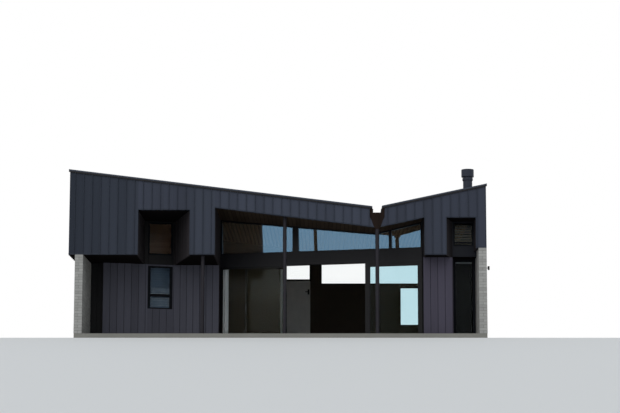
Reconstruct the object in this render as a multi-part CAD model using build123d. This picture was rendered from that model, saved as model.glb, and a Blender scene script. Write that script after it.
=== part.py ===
"""Beach house with a butterfly roof, a raised dark metal hood and a recessed glass wall.

Plan coordinates are in millimetres: X runs right from the left edge of the cladding, Y runs
back from the front face of the cladding, and Z runs up from the ground. Each node is moved
at the end so that the origin is under the middle of the whole house, on the ground.
"""
from build123d import *
import os
from math import hypot, radians, tan

# Front elevation, from left to right
LEFT_END_W = 2087.0        # clad screen left of the first recess
RECESS_L_W = 1565.0
LEFT_MID_W = 765.0
OPENING_W = 6355.0
RIGHT_MID_W = 669.0
RECESS_R_W = 887.0
RIGHT_END_W = 312.0
VALLEY_FROM_OPENING = 4921.0
DEPTH = 7300.0             # front cladding to the back wall's outer face

# Heights
FLOOR_TOP = 240.0          # floor above the ground
SOFFIT_H = 2400.0          # floor to the underside of the hood
RIGHT_SOFFIT_STEP = 208.0  # the hood's right end is this much higher
RECESS_L_H = 1372.0        # recess heads above the hood's underside
RECESS_R_H = 1140.0
DOOR_H = 2401.0            # floor to the transom beam
BEAM_H = 403.0
ROOF_LOW = 4102.0          # roof top, carried on to the valley line
FASCIA_H = 632.0           # roof top to the edge of the fascia
LEFT_PITCH = 7.04          # degrees
RIGHT_PITCH = 12.14
CLEAR = 500.0              # how far a tall blank passes the roof it is cut to

# Roof
CAP_REACH = 35.0           # capping beyond the cladding
CAP_T = 40.0               # roof sheet and capping
ROOF_FRAME_T = 160.0       # rafters and insulation
CEILING_T = 40.0
DRIP = 90.0                # fascia edge below the raked ceiling

# Box gutter and rain head in the valley
GUTTER_W = 290.0
GUTTER_DROP = 42.0         # gutter rim below the roof at the valley
GUTTER_H = 260.0
GUTTER_SHEET = 25.0
RAIN_DROP = 176.0
RAIN_H = 501.0
RAIN_FOOT_W = 150.0
RAIN_SHEET = 12.0
RAIN_SET_BACK = 10.0

# Walls
SCREEN_T = 100.0           # clad front screens
WALL_T = 120.0
BRICK_T = 230.0
BRICK_INSET = 200.0        # left brick wall in from the cladding's edge
SIDE_CLAD_T = 250.0        # upper left side wall
LINING_T = 40.0
SOFFIT_T = 40.0

# Left front wall, skewed in plan, and the wall beside it
LEFT_WALL_X = 830.0
LEFT_WALL_Y = 1720.0
LEFT_REVEAL_SPLAY = 667.0  # the first recess narrows by this much towards its window
MID_WALL_Y = 2300.0
NICHE_Y = 1890.0

# Glass wall, skewed in plan
GLASS_SET_BACK = 504.0     # start of the glass wall behind the middle wall's face
GLASS_END_INSET = 17.0
GLASS_END_Y = 1341.0
BEAM_D = 200.0
GLASS_T = 24.0
FRAME_D = 70.0
CLERESTORY_D = 120.0
CLERESTORY_SILL = 30.0
CLERESTORY_LEAN = 4.3      # degrees, the panes' heads lean outwards
PANE_FOOT_V = 92.0         # feet of the leaning panes behind the frame's face
JAMB_LEFT = 50.0
MULLION_1 = 2458.0         # first mullion's centre from the wall's left end
MULLION_1_W = 183.0
MULLION_2_FROM_END = 1001.0
MULLION_2_W = 82.0
CLERESTORY_STILE = 35.0
HEAD_BAR = 45.0            # clerestory glass below the raked ceiling

# Stacking sliding doors
BAY_START = 2150.0         # clear opening, from the wall's left end
BAY_W = 2558.0
BAY_POST = 150.0
END_STILE = 128.0
DOOR_STILE = 60.0
DOOR_RAIL = 80.0
RIGHT_HEAD = 125.0
DOOR_OVERLAP = 40.0
LEAF_T = 45.0
LEAF_GAP = 15.0
LEAF_HEAD_GAP = 10.0
TRACK_T = 22.0
LEAF_LIFT = 12.0
ROLLER_GAP = 0.3
ROLLER_W = 20.0
ROLLER_L = 90.0
OPEN_SET_BACK = 10.0

# Right-hand walls, measured from the second recess's left edge
RIGHT_WALL_Y = 600.0
RIGHT_WALL_END_OFFSET = 199.0
RIGHT_WALL_CUT_OFFSET = 79.0
RIGHT_REVEAL_SPLAY = 229.0
SIDE_GLASS_OFFSET = 266.0
LOUVRE_Y = 800.0
LOUVRE_WALL_T = 80.0
LOUVRE_FOOT = 50.0         # louvre wall's foot above the hood's underside
LOUVRE_SILL_H = 330.0      # louvre window above that foot
LOUVRE_MARGIN = 30.0
SIDE_GLASS_Y = 1300.0
SIDE_FRAME_W = 90.0
SIDE_FRAME_D = 100.0
WINDOW_FRAME = 45.0
WINDOW_FRAME_D = 60.0
WINDOW_SET_BACK = 20.0
LOUVRE_SET_BACK = 10.0
LOUVRE_FOOT_PANE = 110.0   # plain pane under the louvres

# Windows in the left front wall, along the wall from its left end
LEFT_WINDOW_U = 1410.0
LEFT_WINDOW_W = 781.0
LOWER_SILL_H = 1000.0      # above the floor
LOWER_WINDOW_H = 1350.0
LOWER_RAIL_H = 410.0       # rail above the sill
UPPER_SILL_H = 310.0       # above the hood's underside
UPPER_WINDOW_H = 1040.0

# Back windows: distance from the opening's left edge, width and sill above the floor
HIGH_WINDOWS = [(1865.0, 978.0, 2573.0), (3173.0, 3407.0, 2429.0)]
HIGH_WINDOW_DROP = 45.0    # head below the fascia line
LOW_WINDOW_W = 1400.0
LOW_WINDOW_INSET = 1339.0  # from the left brick wall's outer face
LOW_WINDOW_RIGHT_W = 1200.0
LOW_WINDOW_RIGHT_INSET = 1140.0

# Posts
POST_D = 114.0
POST_Y = 300.0             # behind the face of the cladding
POST_1_OFFSET = 388.0      # from the first recess
POST_2_OFFSET = 2114.0     # from the opening's left edge
VALLEY_POST_D = 120.0
VALLEY_POST_Y = 62.0

# Flue, wall light and curtains
FLUE_INSET = 384.0         # from the right edge
FLUE_Y = 2000.0
FLUE_D = 290.0
FLUE_H = 682.0             # cap above the roof
FLUE_RING_D = 331.0
FLUE_RING_H = 72.0
FLUE_NECK_H = 44.0         # between the ring and the cap
FLUE_CAP_D = 394.0
FLUE_CAP_H = 230.0
LIGHT_REACH = 100.0
LIGHT_Y = 120.0
LIGHT_H_ABOVE_FLOOR = 2001.0
LIGHT_D = 60.0
LIGHT_H = 110.0
LIGHT_PLATE_D = 90.0
LIGHT_PLATE_T = 10.0
LIGHT_ARM_D = 20.0
CURTAIN_SET_BACK = 15.0    # behind the transom beam
CURTAIN_T = 60.0
CURTAIN_RAISE = 40.0       # curtain head above the beam's underside
CURTAIN_GAP = 0.3
CURTAIN_LIFT = 15.0
CURTAINS = [(30.0, 230.0), (1920.0, 170.0)]   # start along the glass wall, gathered width
RAIL_H = 40.0
RAIL_W = 80.0

# Worked out from the sizes above
RECESS_L0 = LEFT_END_W
RECESS_L1 = RECESS_L0 + RECESS_L_W
OPENING_0 = RECESS_L1 + LEFT_MID_W
OPENING_1 = OPENING_0 + OPENING_W
RECESS_R0 = OPENING_1 + RIGHT_MID_W
RECESS_R1 = RECESS_R0 + RECESS_R_W
WIDTH = RECESS_R1 + RIGHT_END_W
VALLEY_X = OPENING_0 + VALLEY_FROM_OPENING
GUTTER_X0 = VALLEY_X - GUTTER_W / 2
GUTTER_X1 = VALLEY_X + GUTTER_W / 2
X_MID = (WIDTH + LIGHT_REACH - CAP_REACH) / 2
Y_MID = DEPTH / 2
BACK_INNER = DEPTH - WALL_T
BRICK_L0 = BRICK_INSET
BRICK_L1 = BRICK_INSET + BRICK_T
BRICK_R0 = WIDTH - BRICK_T
SOFFIT = FLOOR_TOP + SOFFIT_H
RIGHT_SOFFIT = SOFFIT + RIGHT_SOFFIT_STEP
RECESS_L_HEAD = SOFFIT + RECESS_L_H
RECESS_R_HEAD = SOFFIT + RECESS_R_H
LOUVRE_BOTTOM = SOFFIT + LOUVRE_FOOT
BEAM_BOTTOM = FLOOR_TOP + DOOR_H
BEAM_TOP = BEAM_BOTTOM + BEAM_H
CEILING_LOW = ROOF_LOW - FASCIA_H
CEILING = CEILING_LOW + DRIP
SCREEN_TOP = ROOF_LOW - CAP_T
GUTTER_RIM = ROOF_LOW - GUTTER_DROP
GUTTER_BASE = GUTTER_RIM - GUTTER_H
RAIN_TOP = ROOF_LOW - RAIN_DROP
RAIN_FOOT = RAIN_TOP - RAIN_H
LEFT_RISE = tan(radians(LEFT_PITCH))
RIGHT_RISE = tan(radians(RIGHT_PITCH))
TALL = ROOF_LOW + VALLEY_X * LEFT_RISE + (WIDTH - VALLEY_X) * RIGHT_RISE + CLEAR
RIGHT_WALL_END = RECESS_R0 + RIGHT_WALL_END_OFFSET
RIGHT_WALL_CUT = RECESS_R0 + RIGHT_WALL_CUT_OFFSET
LOUVRE_X0 = RECESS_R0 + RIGHT_REVEAL_SPLAY
SIDE_GLASS_X0 = RECESS_R0 + SIDE_GLASS_OFFSET
LEFT_WALL_START = (LEFT_WALL_X, LEFT_WALL_Y)
LEFT_WALL_END = (RECESS_L1 - LEFT_REVEAL_SPLAY, MID_WALL_Y)
LEFT_WALL_LENGTH = hypot(LEFT_WALL_END[0] - LEFT_WALL_X, MID_WALL_Y - LEFT_WALL_Y)
LEFT_WALL = Plane(
    origin=(*LEFT_WALL_START, 0),
    x_dir=(LEFT_WALL_END[0] - LEFT_WALL_X, MID_WALL_Y - LEFT_WALL_Y, 0),
    z_dir=(0, 0, 1),
)
GLASS_WALL_START = (OPENING_0, MID_WALL_Y + GLASS_SET_BACK)
GLASS_WALL_END = (OPENING_1 - GLASS_END_INSET, GLASS_END_Y)
GLASS_LENGTH = hypot(GLASS_WALL_END[0] - OPENING_0, GLASS_END_Y - GLASS_WALL_START[1])
GLASS_WALL = Plane(
    origin=(*GLASS_WALL_START, 0),
    x_dir=(GLASS_WALL_END[0] - OPENING_0, GLASS_END_Y - GLASS_WALL_START[1], 0),
    z_dir=(0, 0, 1),
)
MULLION_2 = GLASS_LENGTH - MULLION_2_FROM_END
BAY_END = BAY_START + BAY_W
LEAF_W = (BAY_W + 3 * DOOR_OVERLAP) / 2
LEAF_OPEN_END = BAY_START - OPEN_SET_BACK
FIRST_TRAVEL = BAY_START - DOOR_OVERLAP + LEAF_W - LEAF_OPEN_END
SECOND_TRAVEL = BAY_END + DOOR_OVERLAP - LEAF_OPEN_END
FIRST_V = FRAME_D + LEAF_GAP
SECOND_V = FIRST_V + LEAF_T + LEAF_GAP


def roof_line(x, low):
    """Height at x of a butterfly line that is `low` at the valley."""
    if x < VALLEY_X:
        return low + (VALLEY_X - x) * LEFT_RISE
    return low + (x - VALLEY_X) * RIGHT_RISE


def run_point(run, u, v):
    """Plan point at u along a wall run and v behind its face."""
    point = run.from_local_coords((u, v, 0))
    return (point.X, point.Y)


def on_line(start, end, x=None, y=None):
    """Plan point on the line from start to end, at the given x or y."""
    (x0, y0), (x1, y1) = start, end
    share = (x - x0) / (x1 - x0) if x is not None else (y - y0) / (y1 - y0)
    return (x0 + share * (x1 - x0), y0 + share * (y1 - y0))


def upright(points, z0, z1):
    """Prism on a plan outline, from z0 up to z1."""
    outline = Polyline(*[(x, y, z0) for x, y in points], close=True)
    return extrude(make_face(outline), amount=z1 - z0, dir=(0, 0, 1))


def elevation(points, y0, y1):
    """Prism on an outline drawn on the front elevation, from y0 back to y1."""
    outline = Polyline(*[(x, y0, z) for x, z in points], close=True)
    return extrude(make_face(outline), amount=y1 - y0, dir=(0, 1, 0))


def block(x0, x1, y0, y1, z0, z1):
    """Box between two opposite corners."""
    return Pos(x0, y0, z0) * Box(x1 - x0, y1 - y0, z1 - z0, align=Align.MIN)


def along(run, u0, u1, v0, v1, z0, z1):
    """Box laid along a wall run."""
    return Location(run) * block(u0, u1, v0, v1, z0, z1)


def below(low, drop=0.0):
    """Everything under a butterfly surface."""
    x0, x1 = -CAP_REACH, WIDTH + CAP_REACH
    points = [(x0, 0), (x0, roof_line(x0, low) - drop), (VALLEY_X, low - drop),
              (x1, roof_line(x1, low) - drop), (x1, 0)]
    return elevation(points, -CAP_REACH, DEPTH + CAP_REACH)


def bevelled(x0, x1, y0, y1, top_low, bottom):
    """Upright panel from `bottom` up to the butterfly line, within one side of the valley."""
    points = [(x0, bottom), (x0, roof_line(x0, top_low)), (x1, roof_line(x1, top_low)), (x1, bottom)]
    return elevation(points, y0, y1)


def raked_plate(x0, x1, y0, y1, low, thickness):
    """Sloping plate of one side of the valley, with its underside on the butterfly line."""
    points = [(x0, roof_line(x0, low)), (x1, roof_line(x1, low)),
              (x1, roof_line(x1, low) + thickness), (x0, roof_line(x0, low) + thickness)]
    return elevation(points, y0, y1)


def window(run, u0, u1, v0, z0, z1, edge, depth, rails=()):
    """Frame and panes of a window laid along a wall run."""
    frame = along(run, u0, u1, v0, v0 + depth, z0, z1)
    levels = [z0, *rails, z1]
    panes = []
    for low, high in zip(levels, levels[1:]):
        foot = low + (edge if low == z0 else edge / 2)
        head = high - (edge if high == z1 else edge / 2)
        frame -= along(run, u0 + edge, u1 - edge, v0, v0 + depth, foot, head)
        glass_v = v0 + (depth - GLASS_T) / 2
        panes.append(along(run, u0 + edge, u1 - edge, glass_v, glass_v + GLASS_T, foot, head))
    return frame, panes


def flat_run(y):
    """Wall run parallel to the front."""
    return Plane(origin=(0, y, 0), x_dir=(1, 0, 0), z_dir=(0, 0, 1))


UNDER_CEILING = below(CEILING)
parts = {}


def build_base():
    """Floor slab and the two brick side walls."""
    parts["floor_slab"] = block(BRICK_L0, WIDTH, 0, DEPTH, 0, FLOOR_TOP)
    left = block(BRICK_L0, BRICK_L1, 0, DEPTH, FLOOR_TOP, SOFFIT)
    right = block(BRICK_R0, WIDTH, 0, DEPTH, FLOOR_TOP, RIGHT_SOFFIT)
    parts["brick_walls"] = Compound([left, right])


def build_upper_sides():
    """Clad side walls above the bricks."""
    left = bevelled(0, SIDE_CLAD_T, SCREEN_T, DEPTH, SCREEN_TOP, SOFFIT)
    right = bevelled(BRICK_R0, WIDTH, SCREEN_T, DEPTH, SCREEN_TOP, RIGHT_SOFFIT)
    parts["upper_side_walls"] = Compound([left, right])


def build_back():
    """Back wall with its windows: two high ones under the ceiling and two low ones."""
    outline = [
        (BRICK_L1, FLOOR_TOP), (BRICK_R0, FLOOR_TOP), (BRICK_R0, roof_line(BRICK_R0, SCREEN_TOP)),
        (GUTTER_X1, roof_line(GUTTER_X1, SCREEN_TOP)), (GUTTER_X1, GUTTER_RIM),
        (GUTTER_X0, GUTTER_RIM), (GUTTER_X0, roof_line(GUTTER_X0, SCREEN_TOP)),
        (SIDE_CLAD_T, roof_line(SIDE_CLAD_T, SCREEN_TOP)), (SIDE_CLAD_T, SOFFIT), (BRICK_L1, SOFFIT),
    ]
    wall = elevation(outline, BACK_INNER, DEPTH)
    run = flat_run(BACK_INNER + (WALL_T - WINDOW_FRAME_D) / 2)
    frames, glass = [], []
    glass_v = (WINDOW_FRAME_D - GLASS_T) / 2
    for offset, width, sill_height in HIGH_WINDOWS:
        x0, sill = OPENING_0 + offset, FLOOR_TOP + sill_height
        x1 = x0 + width
        opening = block(x0, x1, BACK_INNER, DEPTH, sill, TALL) & below(CEILING_LOW, HIGH_WINDOW_DROP)
        wall -= opening
        frame = opening & along(run, x0, x1, 0, WINDOW_FRAME_D, sill, TALL)
        pane = block(x0 + WINDOW_FRAME, x1 - WINDOW_FRAME, BACK_INNER, DEPTH, sill + WINDOW_FRAME, TALL)
        pane &= below(CEILING_LOW, HIGH_WINDOW_DROP + WINDOW_FRAME)
        frames.append(frame - pane)
        glass.append(pane & along(run, x0, x1, glass_v, glass_v + GLASS_T, sill, TALL))
    z0 = FLOOR_TOP + LOWER_SILL_H
    z1 = z0 + LOWER_WINDOW_H
    left = BRICK_L0 + LOW_WINDOW_INSET
    right = WIDTH - LOW_WINDOW_RIGHT_INSET
    for x0, x1 in ((left, left + LOW_WINDOW_W), (right - LOW_WINDOW_RIGHT_W, right)):
        wall -= block(x0, x1, BACK_INNER, DEPTH, z0, z1)
        frame, panes = window(run, x0, x1, 0, z0, z1, WINDOW_FRAME, WINDOW_FRAME_D)
        frames.append(frame)
        glass += panes
    parts["back_wall"] = wall
    parts["back_window_frames"] = Compound(frames)
    parts["back_window_glass"] = Compound(glass)


def build_front_walls():
    """Timber-lined walls under and behind the hood, left of the glass wall."""
    behind = run_point(LEFT_WALL, 0, WALL_T)
    corner = run_point(LEFT_WALL, LEFT_WALL_LENGTH, WALL_T)
    back_start = on_line(behind, corner, x=LEFT_WALL_START[0])
    wall = upright([LEFT_WALL_START, LEFT_WALL_END, corner, back_start], FLOOR_TOP, TALL) & UNDER_CEILING
    frames, glass = [], []
    u0, u1 = LEFT_WINDOW_U, LEFT_WINDOW_U + LEFT_WINDOW_W
    for z0, height, rails in (
        (FLOOR_TOP + LOWER_SILL_H, LOWER_WINDOW_H, (FLOOR_TOP + LOWER_SILL_H + LOWER_RAIL_H,)),
        (SOFFIT + UPPER_SILL_H, UPPER_WINDOW_H, ()),
    ):
        z1 = z0 + height
        wall -= along(LEFT_WALL, u0, u1, -WALL_T, 2 * WALL_T, z0, z1)
        frame, panes = window(LEFT_WALL, u0, u1, WINDOW_SET_BACK, z0, z1,
                              WINDOW_FRAME, WINDOW_FRAME_D, rails)
        frames.append(frame)
        glass += panes
    parts["front_wall_left"] = wall
    parts["left_window_frames"] = Compound(frames)
    parts["left_window_glass"] = Compound(glass)

    face_x, glass_y = OPENING_0 - LINING_T, GLASS_WALL_START[1]
    glass_back = run_point(GLASS_WALL, 0, WALL_T)
    middle = [
        LEFT_WALL_END, (face_x, MID_WALL_Y), (face_x, glass_y), GLASS_WALL_START, glass_back,
        (face_x - WALL_T, glass_back[1]), (face_x - WALL_T, corner[1]), corner,
    ]
    parts["front_wall_mid"] = upright(middle, FLOOR_TOP, TALL) & UNDER_CEILING
    niche = block(BRICK_L1, LEFT_WALL_START[0], NICHE_Y, NICHE_Y + WALL_T, FLOOR_TOP, TALL)
    parts["niche_wall"] = niche & UNDER_CEILING


def build_right_walls():
    """Timber-lined wall, returns, louvre wall and tall side window right of the glass wall."""
    end = GLASS_WALL_END
    front = block(end[0], RIGHT_WALL_CUT, RIGHT_WALL_Y, RIGHT_WALL_Y + WALL_T, FLOOR_TOP, TALL)
    parts["front_wall_right"] = front & UNDER_CEILING
    beam_end = run_point(GLASS_WALL, GLASS_LENGTH, BEAM_D)
    y0 = RIGHT_WALL_Y + WALL_T
    glass_return = upright(
        [(end[0], y0), (end[0] + WALL_T, y0), (end[0] + WALL_T, beam_end[1]), beam_end, end],
        FLOOR_TOP, TALL) & UNDER_CEILING
    splay = [(RIGHT_WALL_CUT, RIGHT_WALL_Y), (RIGHT_WALL_END, RIGHT_WALL_Y), (SIDE_GLASS_X0, SIDE_GLASS_Y),
             (SIDE_GLASS_X0, SIDE_GLASS_Y + SIDE_FRAME_D),
             (SIDE_GLASS_X0 - WALL_T, SIDE_GLASS_Y + SIDE_FRAME_D)]
    side_return = upright(splay, FLOOR_TOP, SOFFIT)
    parts["return_walls"] = Compound([glass_return, side_return])

    x0, x1 = LOUVRE_X0 + LOUVRE_MARGIN, RECESS_R1 - LOUVRE_MARGIN / 2
    z0, z1 = LOUVRE_BOTTOM + LOUVRE_SILL_H, RECESS_R_HEAD - LOUVRE_MARGIN
    louvre = block(LOUVRE_X0 - LINING_T, BRICK_R0, LOUVRE_Y, LOUVRE_Y + LOUVRE_WALL_T,
                   LOUVRE_BOTTOM, TALL) & UNDER_CEILING
    louvre -= block(x0, x1, LOUVRE_Y, LOUVRE_Y + LOUVRE_WALL_T, z0, z1)
    parts["louvre_wall"] = louvre
    upper, upper_panes = window(flat_run(LOUVRE_Y), x0, x1, LOUVRE_SET_BACK, z0, z1,
                                WINDOW_FRAME, WINDOW_FRAME_D, (z0 + LOUVRE_FOOT_PANE,))
    lower, lower_panes = window(flat_run(SIDE_GLASS_Y), SIDE_GLASS_X0, BRICK_R0, 0, FLOOR_TOP,
                                LOUVRE_BOTTOM, SIDE_FRAME_W, SIDE_FRAME_D)
    parts["right_window_frames"] = Compound([upper, lower])
    parts["right_window_glass"] = Compound(upper_panes + lower_panes)


def build_screens():
    """Clad front screens of the hood, with the two recesses and the wide opening."""
    left_end = bevelled(0, RECESS_L0, 0, SCREEN_T, SCREEN_TOP, SOFFIT)
    left_mid = bevelled(RECESS_L1, OPENING_0, 0, SCREEN_T, SCREEN_TOP, SOFFIT)
    parts["screen_panels_left"] = Compound([left_end, left_mid])
    right_mid = bevelled(OPENING_1, RECESS_R0, 0, SCREEN_T, SCREEN_TOP, SOFFIT)
    right_end = bevelled(RECESS_R1, WIDTH, 0, SCREEN_T, SCREEN_TOP, RIGHT_SOFFIT)
    parts["screen_panels_right"] = Compound([right_mid, right_end])
    left_head = bevelled(RECESS_L0, RECESS_L1, 0, SCREEN_T, SCREEN_TOP, RECESS_L_HEAD)
    right_head = bevelled(RECESS_R0, RECESS_R1, 0, SCREEN_T, SCREEN_TOP, RECESS_R_HEAD)
    parts["recess_head_screens"] = Compound([left_head, right_head])


def rain_outline(inset):
    """Front outline of the tapered rain head, inset by its sheet."""
    mid = VALLEY_X
    top, foot = GUTTER_W / 2 - inset, RAIN_FOOT_W / 2 - inset
    z0 = RAIN_FOOT + inset
    return [(mid - top, RAIN_TOP), (mid + top, RAIN_TOP), (mid + foot, z0), (mid - foot, z0)]


def build_fascias():
    """Raked fascias over the opening; their ends are cut to the rain head's taper."""
    taper = (GUTTER_W - RAIN_FOOT_W) / 2 / (RAIN_TOP - RAIN_FOOT)
    for name, x_far, edge, rise, way in (
        ("fascia_left", OPENING_0, GUTTER_X0, LEFT_RISE, 1),
        ("fascia_right", OPENING_1, GUTTER_X1, RIGHT_RISE, -1),
    ):
        reach = (RAIN_TOP - CEILING_LOW - abs(VALLEY_X - edge) * rise) * taper / (1 - taper * rise)
        x_tip = edge + way * reach
        points = [
            (x_far, roof_line(x_far, CEILING_LOW)), (x_far, roof_line(x_far, SCREEN_TOP)),
            (edge, roof_line(edge, SCREEN_TOP)), (edge, RAIN_TOP),
            (x_tip, roof_line(x_tip, CEILING_LOW)),
        ]
        parts[name] = elevation(points, 0, SCREEN_T)


def build_linings():
    """Reveals and ceilings of the recesses and the opening, and the soffits of the hood."""
    left_foot = on_line(LEFT_WALL_START, LEFT_WALL_END, x=RECESS_L0)
    left_outer = on_line(LEFT_WALL_START, LEFT_WALL_END, x=RECESS_L0 - LINING_T)
    left = [(RECESS_L0 - LINING_T, SCREEN_T), (RECESS_L0, SCREEN_T), left_foot, left_outer]
    splay_x = RECESS_L1 + LINING_T
    right = [(RECESS_L1, SCREEN_T), (splay_x, SCREEN_T),
             (LEFT_WALL_END[0] + LINING_T, LEFT_WALL_END[1]), LEFT_WALL_END]
    parts["recess_reveals_left"] = Compound(
        [upright(left, SOFFIT, RECESS_L_HEAD), upright(right, SOFFIT, RECESS_L_HEAD)])
    left_ceiling = upright([left[0], right[1], right[2], right[3], left_outer],
                           RECESS_L_HEAD, RECESS_L_HEAD + LINING_T)

    splayed = [(RECESS_R0 - LINING_T, SCREEN_T), (RECESS_R0, SCREEN_T),
               (LOUVRE_X0, LOUVRE_Y), (LOUVRE_X0 - LINING_T, LOUVRE_Y)]
    straight = block(RECESS_R1, BRICK_R0, SCREEN_T, LOUVRE_Y, RIGHT_SOFFIT, RECESS_R_HEAD)
    parts["recess_reveals_right"] = Compound([upright(splayed, SOFFIT, RECESS_R_HEAD), straight])
    right_ceiling = upright([splayed[0], (BRICK_R0, SCREEN_T), (BRICK_R0, LOUVRE_Y), splayed[3]],
                            RECESS_R_HEAD, RECESS_R_HEAD + LINING_T)
    parts["recess_ceilings"] = Compound([left_ceiling, right_ceiling])

    lining_x = OPENING_0 - LINING_T
    reveal_left = block(lining_x, OPENING_0, SCREEN_T, MID_WALL_Y, SOFFIT, TALL)
    reveal_left += block(lining_x, OPENING_0, MID_WALL_Y, GLASS_WALL_START[1], FLOOR_TOP, TALL)
    reveal_right = block(OPENING_1, OPENING_1 + LINING_T, SCREEN_T, RIGHT_WALL_Y, SOFFIT, TALL)
    parts["opening_reveals"] = Compound([reveal_left & UNDER_CEILING, reveal_right & UNDER_CEILING])

    splay_foot = on_line(splayed[0], splayed[3], y=RIGHT_WALL_Y)
    soffits = [
        [(SIDE_CLAD_T, SCREEN_T), left[0], left_outer, LEFT_WALL_START,
         (LEFT_WALL_START[0], NICHE_Y), (SIDE_CLAD_T, NICHE_Y)],
        [right[1], (OPENING_0 - LINING_T, SCREEN_T), (OPENING_0 - LINING_T, LEFT_WALL_END[1]), right[2]],
        [(OPENING_1 + LINING_T, SCREEN_T), splayed[0], splay_foot, (OPENING_1 + LINING_T, RIGHT_WALL_Y)],
    ]
    panels = [upright(outline, SOFFIT, SOFFIT + SOFFIT_T) for outline in soffits]
    panels.append(block(LOUVRE_X0 - LINING_T, BRICK_R0, LOUVRE_Y + LOUVRE_WALL_T,
                        SIDE_GLASS_Y + SIDE_FRAME_D, LOUVRE_BOTTOM, LOUVRE_BOTTOM + SOFFIT_T))
    parts["hood_soffits"] = Compound(panels)


def build_roof():
    """Raked ceilings, roofs with their cappings, the box gutter and the rain head."""
    parts["ceiling_left"] = raked_plate(SIDE_CLAD_T, VALLEY_X, SCREEN_T, BACK_INNER, CEILING, CEILING_T)
    parts["ceiling_right"] = raked_plate(VALLEY_X, BRICK_R0, SCREEN_T, BACK_INNER, CEILING, CEILING_T)
    frame_low = SCREEN_TOP - ROOF_FRAME_T
    for name, x_out, x_in, x_gutter in (
        ("roof_left", -CAP_REACH, SIDE_CLAD_T, GUTTER_X0),
        ("roof_right", WIDTH + CAP_REACH, BRICK_R0, GUTTER_X1),
    ):
        sheet = raked_plate(*sorted((x_out, x_gutter)), -CAP_REACH, DEPTH + CAP_REACH, SCREEN_TOP, CAP_T)
        frame = raked_plate(*sorted((x_in, x_gutter)), SCREEN_T, BACK_INNER, frame_low, ROOF_FRAME_T)
        parts[name] = sheet + frame
    gutter = block(GUTTER_X0, GUTTER_X1, SCREEN_T, BACK_INNER, GUTTER_BASE, GUTTER_RIM)
    parts["box_gutter"] = gutter - block(
        GUTTER_X0 + GUTTER_SHEET, GUTTER_X1 - GUTTER_SHEET, SCREEN_T, BACK_INNER,
        GUTTER_BASE + GUTTER_SHEET, GUTTER_RIM)
    head = elevation(rain_outline(0), RAIN_SET_BACK, SCREEN_T)
    head -= elevation(rain_outline(RAIN_SHEET), RAIN_SET_BACK + RAIN_SHEET, SCREEN_T - RAIN_SHEET)
    spout = block(GUTTER_X0 + GUTTER_SHEET, GUTTER_X1 - GUTTER_SHEET, SCREEN_T - RAIN_SHEET, SCREEN_T,
                  GUTTER_BASE + GUTTER_SHEET, RAIN_TOP)
    parts["rain_head"] = head - spout


def build_posts():
    """Steel posts behind the front screens, and the one under the rain head."""
    posts = []
    for x, top in ((RECESS_L1 + POST_1_OFFSET, SOFFIT), (OPENING_0 + POST_2_OFFSET, TALL)):
        post = Pos(x, POST_Y, FLOOR_TOP) * Cylinder(
            POST_D / 2, top - FLOOR_TOP, align=(Align.CENTER, Align.CENTER, Align.MIN))
        posts.append(post & UNDER_CEILING)
    parts["verandah_posts"] = Compound(posts)
    parts["valley_post"] = Pos(VALLEY_X, VALLEY_POST_Y, FLOOR_TOP) * Cylinder(
        VALLEY_POST_D / 2, RAIN_FOOT - FLOOR_TOP, align=(Align.CENTER, Align.CENTER, Align.MIN))


def leaning_pane(u0, u1, sill):
    """Clerestory pane across a bay, with its head leaning outwards from its foot."""
    reach = (TALL - sill) * tan(radians(CLERESTORY_LEAN))
    feet = [(PANE_FOOT_V, sill), (PANE_FOOT_V + GLASS_T, sill)]
    heads = [(v - reach, TALL) for v, _ in reversed(feet)]
    start = GLASS_WALL.from_local_coords((u0, 0, 0))
    across = Plane(origin=start, x_dir=GLASS_WALL.y_dir, z_dir=GLASS_WALL.x_dir)
    return extrude(across * make_face(Polyline(*feet, *heads, close=True)), amount=u1 - u0)


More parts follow.
